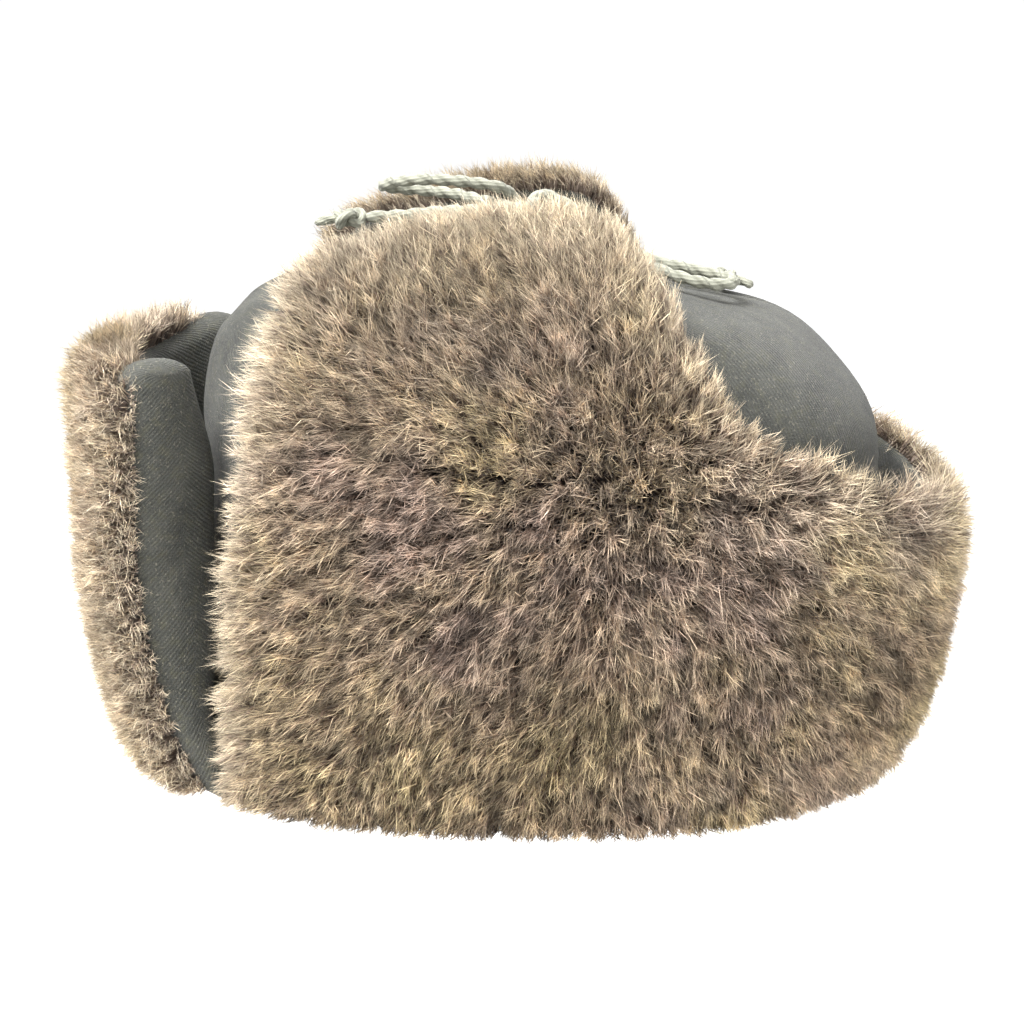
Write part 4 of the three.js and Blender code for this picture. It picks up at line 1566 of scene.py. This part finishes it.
def rim_fold(name, start, end):
    """One short length of the binding, which covers the rim's edge and turns under the flap."""
    angle = np.linspace(start, end, 9)[:, None]
    foot = fold_point(angle)
    out = fold_out(angle)
    section = np.array(
        [(-0.0004, binding_height), (-0.0004, 0.005), (-0.0004, 0.003), (-0.0004, 0.0012)]
        + [(-0.00032, 0.0006), (-0.0001, 0.00035), (0.0003, 0.0003), (0.001, 0.0003), (0.0030, 0.0003)]
    )
    section = even_line(np.pad(section, ((0, 0), (0, 1))), 0.0004)[:, :2]
    slope = normalised(np.gradient(section, axis=0))
    shapes = []
    for way in (1, -1):
        spots = section + way * binding_half_thickness * np.stack([slope[:, 1], -slope[:, 0]], -1)
        sheet = foot + out * spots[None, :, :1]
        sheet[..., 2] = np.maximum(spots[None, :, 1], 0.0001)
        shapes.append(sheet)
    piece = pillow(name, *shapes, knit, sheet_map(shapes[0]), sheet_map(shapes[1]))
    middle = (start + end) / 2
    foot, out = fold_point(np.array(middle)), fold_out(np.array(middle))
    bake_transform(piece)


fold_rows = [(name, body, start, end) for name, body, start, end in flap_parts if "tip" not in name]
fold_rows.append(("visor", "visor", visor_start, visor_end))
for name, body, start, end in fold_rows:
    marks = np.linspace(start, end, 1 + max(2, round((end - start) / fold_arc)))
    for n, (low, high) in enumerate(zip(marks[:-1], marks[1:])):
        rim_fold(f"{name}_fold_binding_{n + 1}", low, high)

# ---- Stitches ----
def stitch_pattern():
    """Short stitches of thread, laid at an even pitch on points that carry their own way."""
    p = Pattern("whip_stitches")
    spots = p.start.outputs["Geometry"]
    long = p.ask("Stitch length", "Float")
    thick = p.ask("Thread thickness", "Float")
    finish = p.ask("Material", "Material")
    points = p.add("GeometryNodeMeshToPoints", {0: spots}).outputs[0]
    body = p.add("GeometryNodeMeshUVSphere", {0: 8, 1: 6, 2: 0.5}).outputs[0]
    size = p.add("ShaderNodeCombineXYZ", {0: thick, 1: thick, 2: long}).outputs[0]
    body = p.add("GeometryNodeTransform", {0: body, 3: size}).outputs[0]
    way = p.add("FunctionNodeAlignRotationToVector", {2: p.read("way", "FLOAT_VECTOR")}, axis="Z")
    laid = p.add("GeometryNodeInstanceOnPoints", {0: points, 2: body, 5: way.outputs[0]}).outputs[0]
    sewn = p.add("GeometryNodeRealizeInstances", {0: laid}).outputs[0]
    sewn = p.add("GeometryNodeSetShadeSmooth", {0: sewn}).outputs[0]
    sewn = p.add("GeometryNodeRemoveAttribute", {0: sewn, 1: "way"}).outputs[0]
    dressed = p.add("GeometryNodeSetMaterial", {0: sewn, 2: finish}).outputs[0]
    p.tree.links.new(dressed, p.end.inputs[0])
    return p


stitch_tree = stitch_pattern()


def sew(name, body, spots, ways, long, thick, finish):
    """A row of stitches, centred on these spots and lying along these ways."""
    mesh = bpy.data.meshes.new(name)
    mesh.from_pydata([tuple(spot) for spot in spots], [], [])
    store(mesh, "way", "FLOAT_VECTOR", "POINT", np.asarray(ways, np.float32))
    row = bpy.data.objects.new(name, mesh)
    bpy.context.scene.collection.objects.link(row)
    modifier = row.modifiers.new("stitches", "NODES")
    modifier.node_group = stitch_tree.tree
    for key, value in (("Stitch length", long), ("Thread thickness", thick), ("Material", finish)):
        modifier[stitch_tree.asked[key]] = value
    ready = row.evaluated_get(bpy.context.evaluated_depsgraph_get())
    row.data = bpy.data.meshes.new_from_object(ready)
    row.modifiers.clear()
    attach(row, body)
    return row


stitch_pitch = 0.0024
stitch_length = 0.0030
stitch_thickness = 0.0006
for side_name, end, inward in (("right", visor_start, 1), ("left", visor_end, -1)):
    length = np.arange(0.008, visor_length + 0.001, stitch_pitch)
    angle = np.full_like(length, end + inward * (visor_hem - 0.0002) / rim_half_width)
    cloth_face = flap_cloth + visor_padding + 0.0005
    spots = off_face(visor_face, angle, length, np.full_like(length, cloth_face))
    sunk = np.full_like(length, cloth_face - 0.0004)
    beside = off_face(visor_face, angle - inward * 0.03, length + 0.0012, sunk)
    name = "visor_whip_stitches_" + side_name
    sew(name, "visor", spots, beside - spots, stitch_length, stitch_thickness, thread)

# ---- Trim ----
# Tape tabs that join the ties to the flap's tips
for side_name, middle_angle in (("left", math.radians(3)), ("right", math.radians(177))):
    low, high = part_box("tie_tab_" + side_name)
    wide = 0.0035 / 0.0866
    across = np.linspace(-1, 1, 13)[:, None] * np.ones((1, 17))
    along = np.linspace(0, 1, 17)[None, :] * np.ones((13, 1))
    tip = flap_length(np.array(middle_angle)) - 0.0012
    angle = middle_angle + across * wide
    length = tip + 0.0016 - 0.006 * (1 - along)
    edge = np.minimum((1 - np.abs(across)) * 0.0035, np.minimum(along, 1 - along) * 0.006)
    thick = 0.0007 * edge_round(edge, 0.0008)
    depth = 0.0022 + 0 * across
    share = smoothstep(along, 0, 1)[..., None]
    outer, inner = (
        mixed(
            off_face(lifted_face, angle, length, depth + way * thick),
            off_face(flap_face, angle, length, depth + way * thick),
            share,
        )
        for way in (1, -1)
    )
    uv = np.stack([across * 0.0035, along * 0.006], -1)
    tab = pillow("tie_tape_" + side_name, outer, inner, cotton, uv)
    dress(tab, side_name + "_ear_tip", "tie_cord", "tie_tab_" + side_name)

# Blank label on the lining
across = np.linspace(-1, 1, 33)[:, None] * np.ones((1, 21))
up = np.linspace(0, 1, 21)[None, :] * np.ones((33, 1))
label_half = math.radians(9)
angle = math.pi / 2 + across * label_half
climb = climb_at(mixed(0.048, 0.066, up))
edge = np.minimum((1 - np.abs(across)) * 0.0155, np.minimum(up, 1 - up) * 0.018)
thick = 0.00035 * edge_round(edge, 0.0006)
depth = lining_face + 0.0022
outer = inside_crown(angle, climb, depth - thick)
inner = inside_crown(angle, climb, depth + thick)
label = pillow("blank_woven_label", outer, inner, woven, np.stack([across * 0.0155, up * 0.018], -1))
dress(label, "crown", "woven_label", "blank_label")
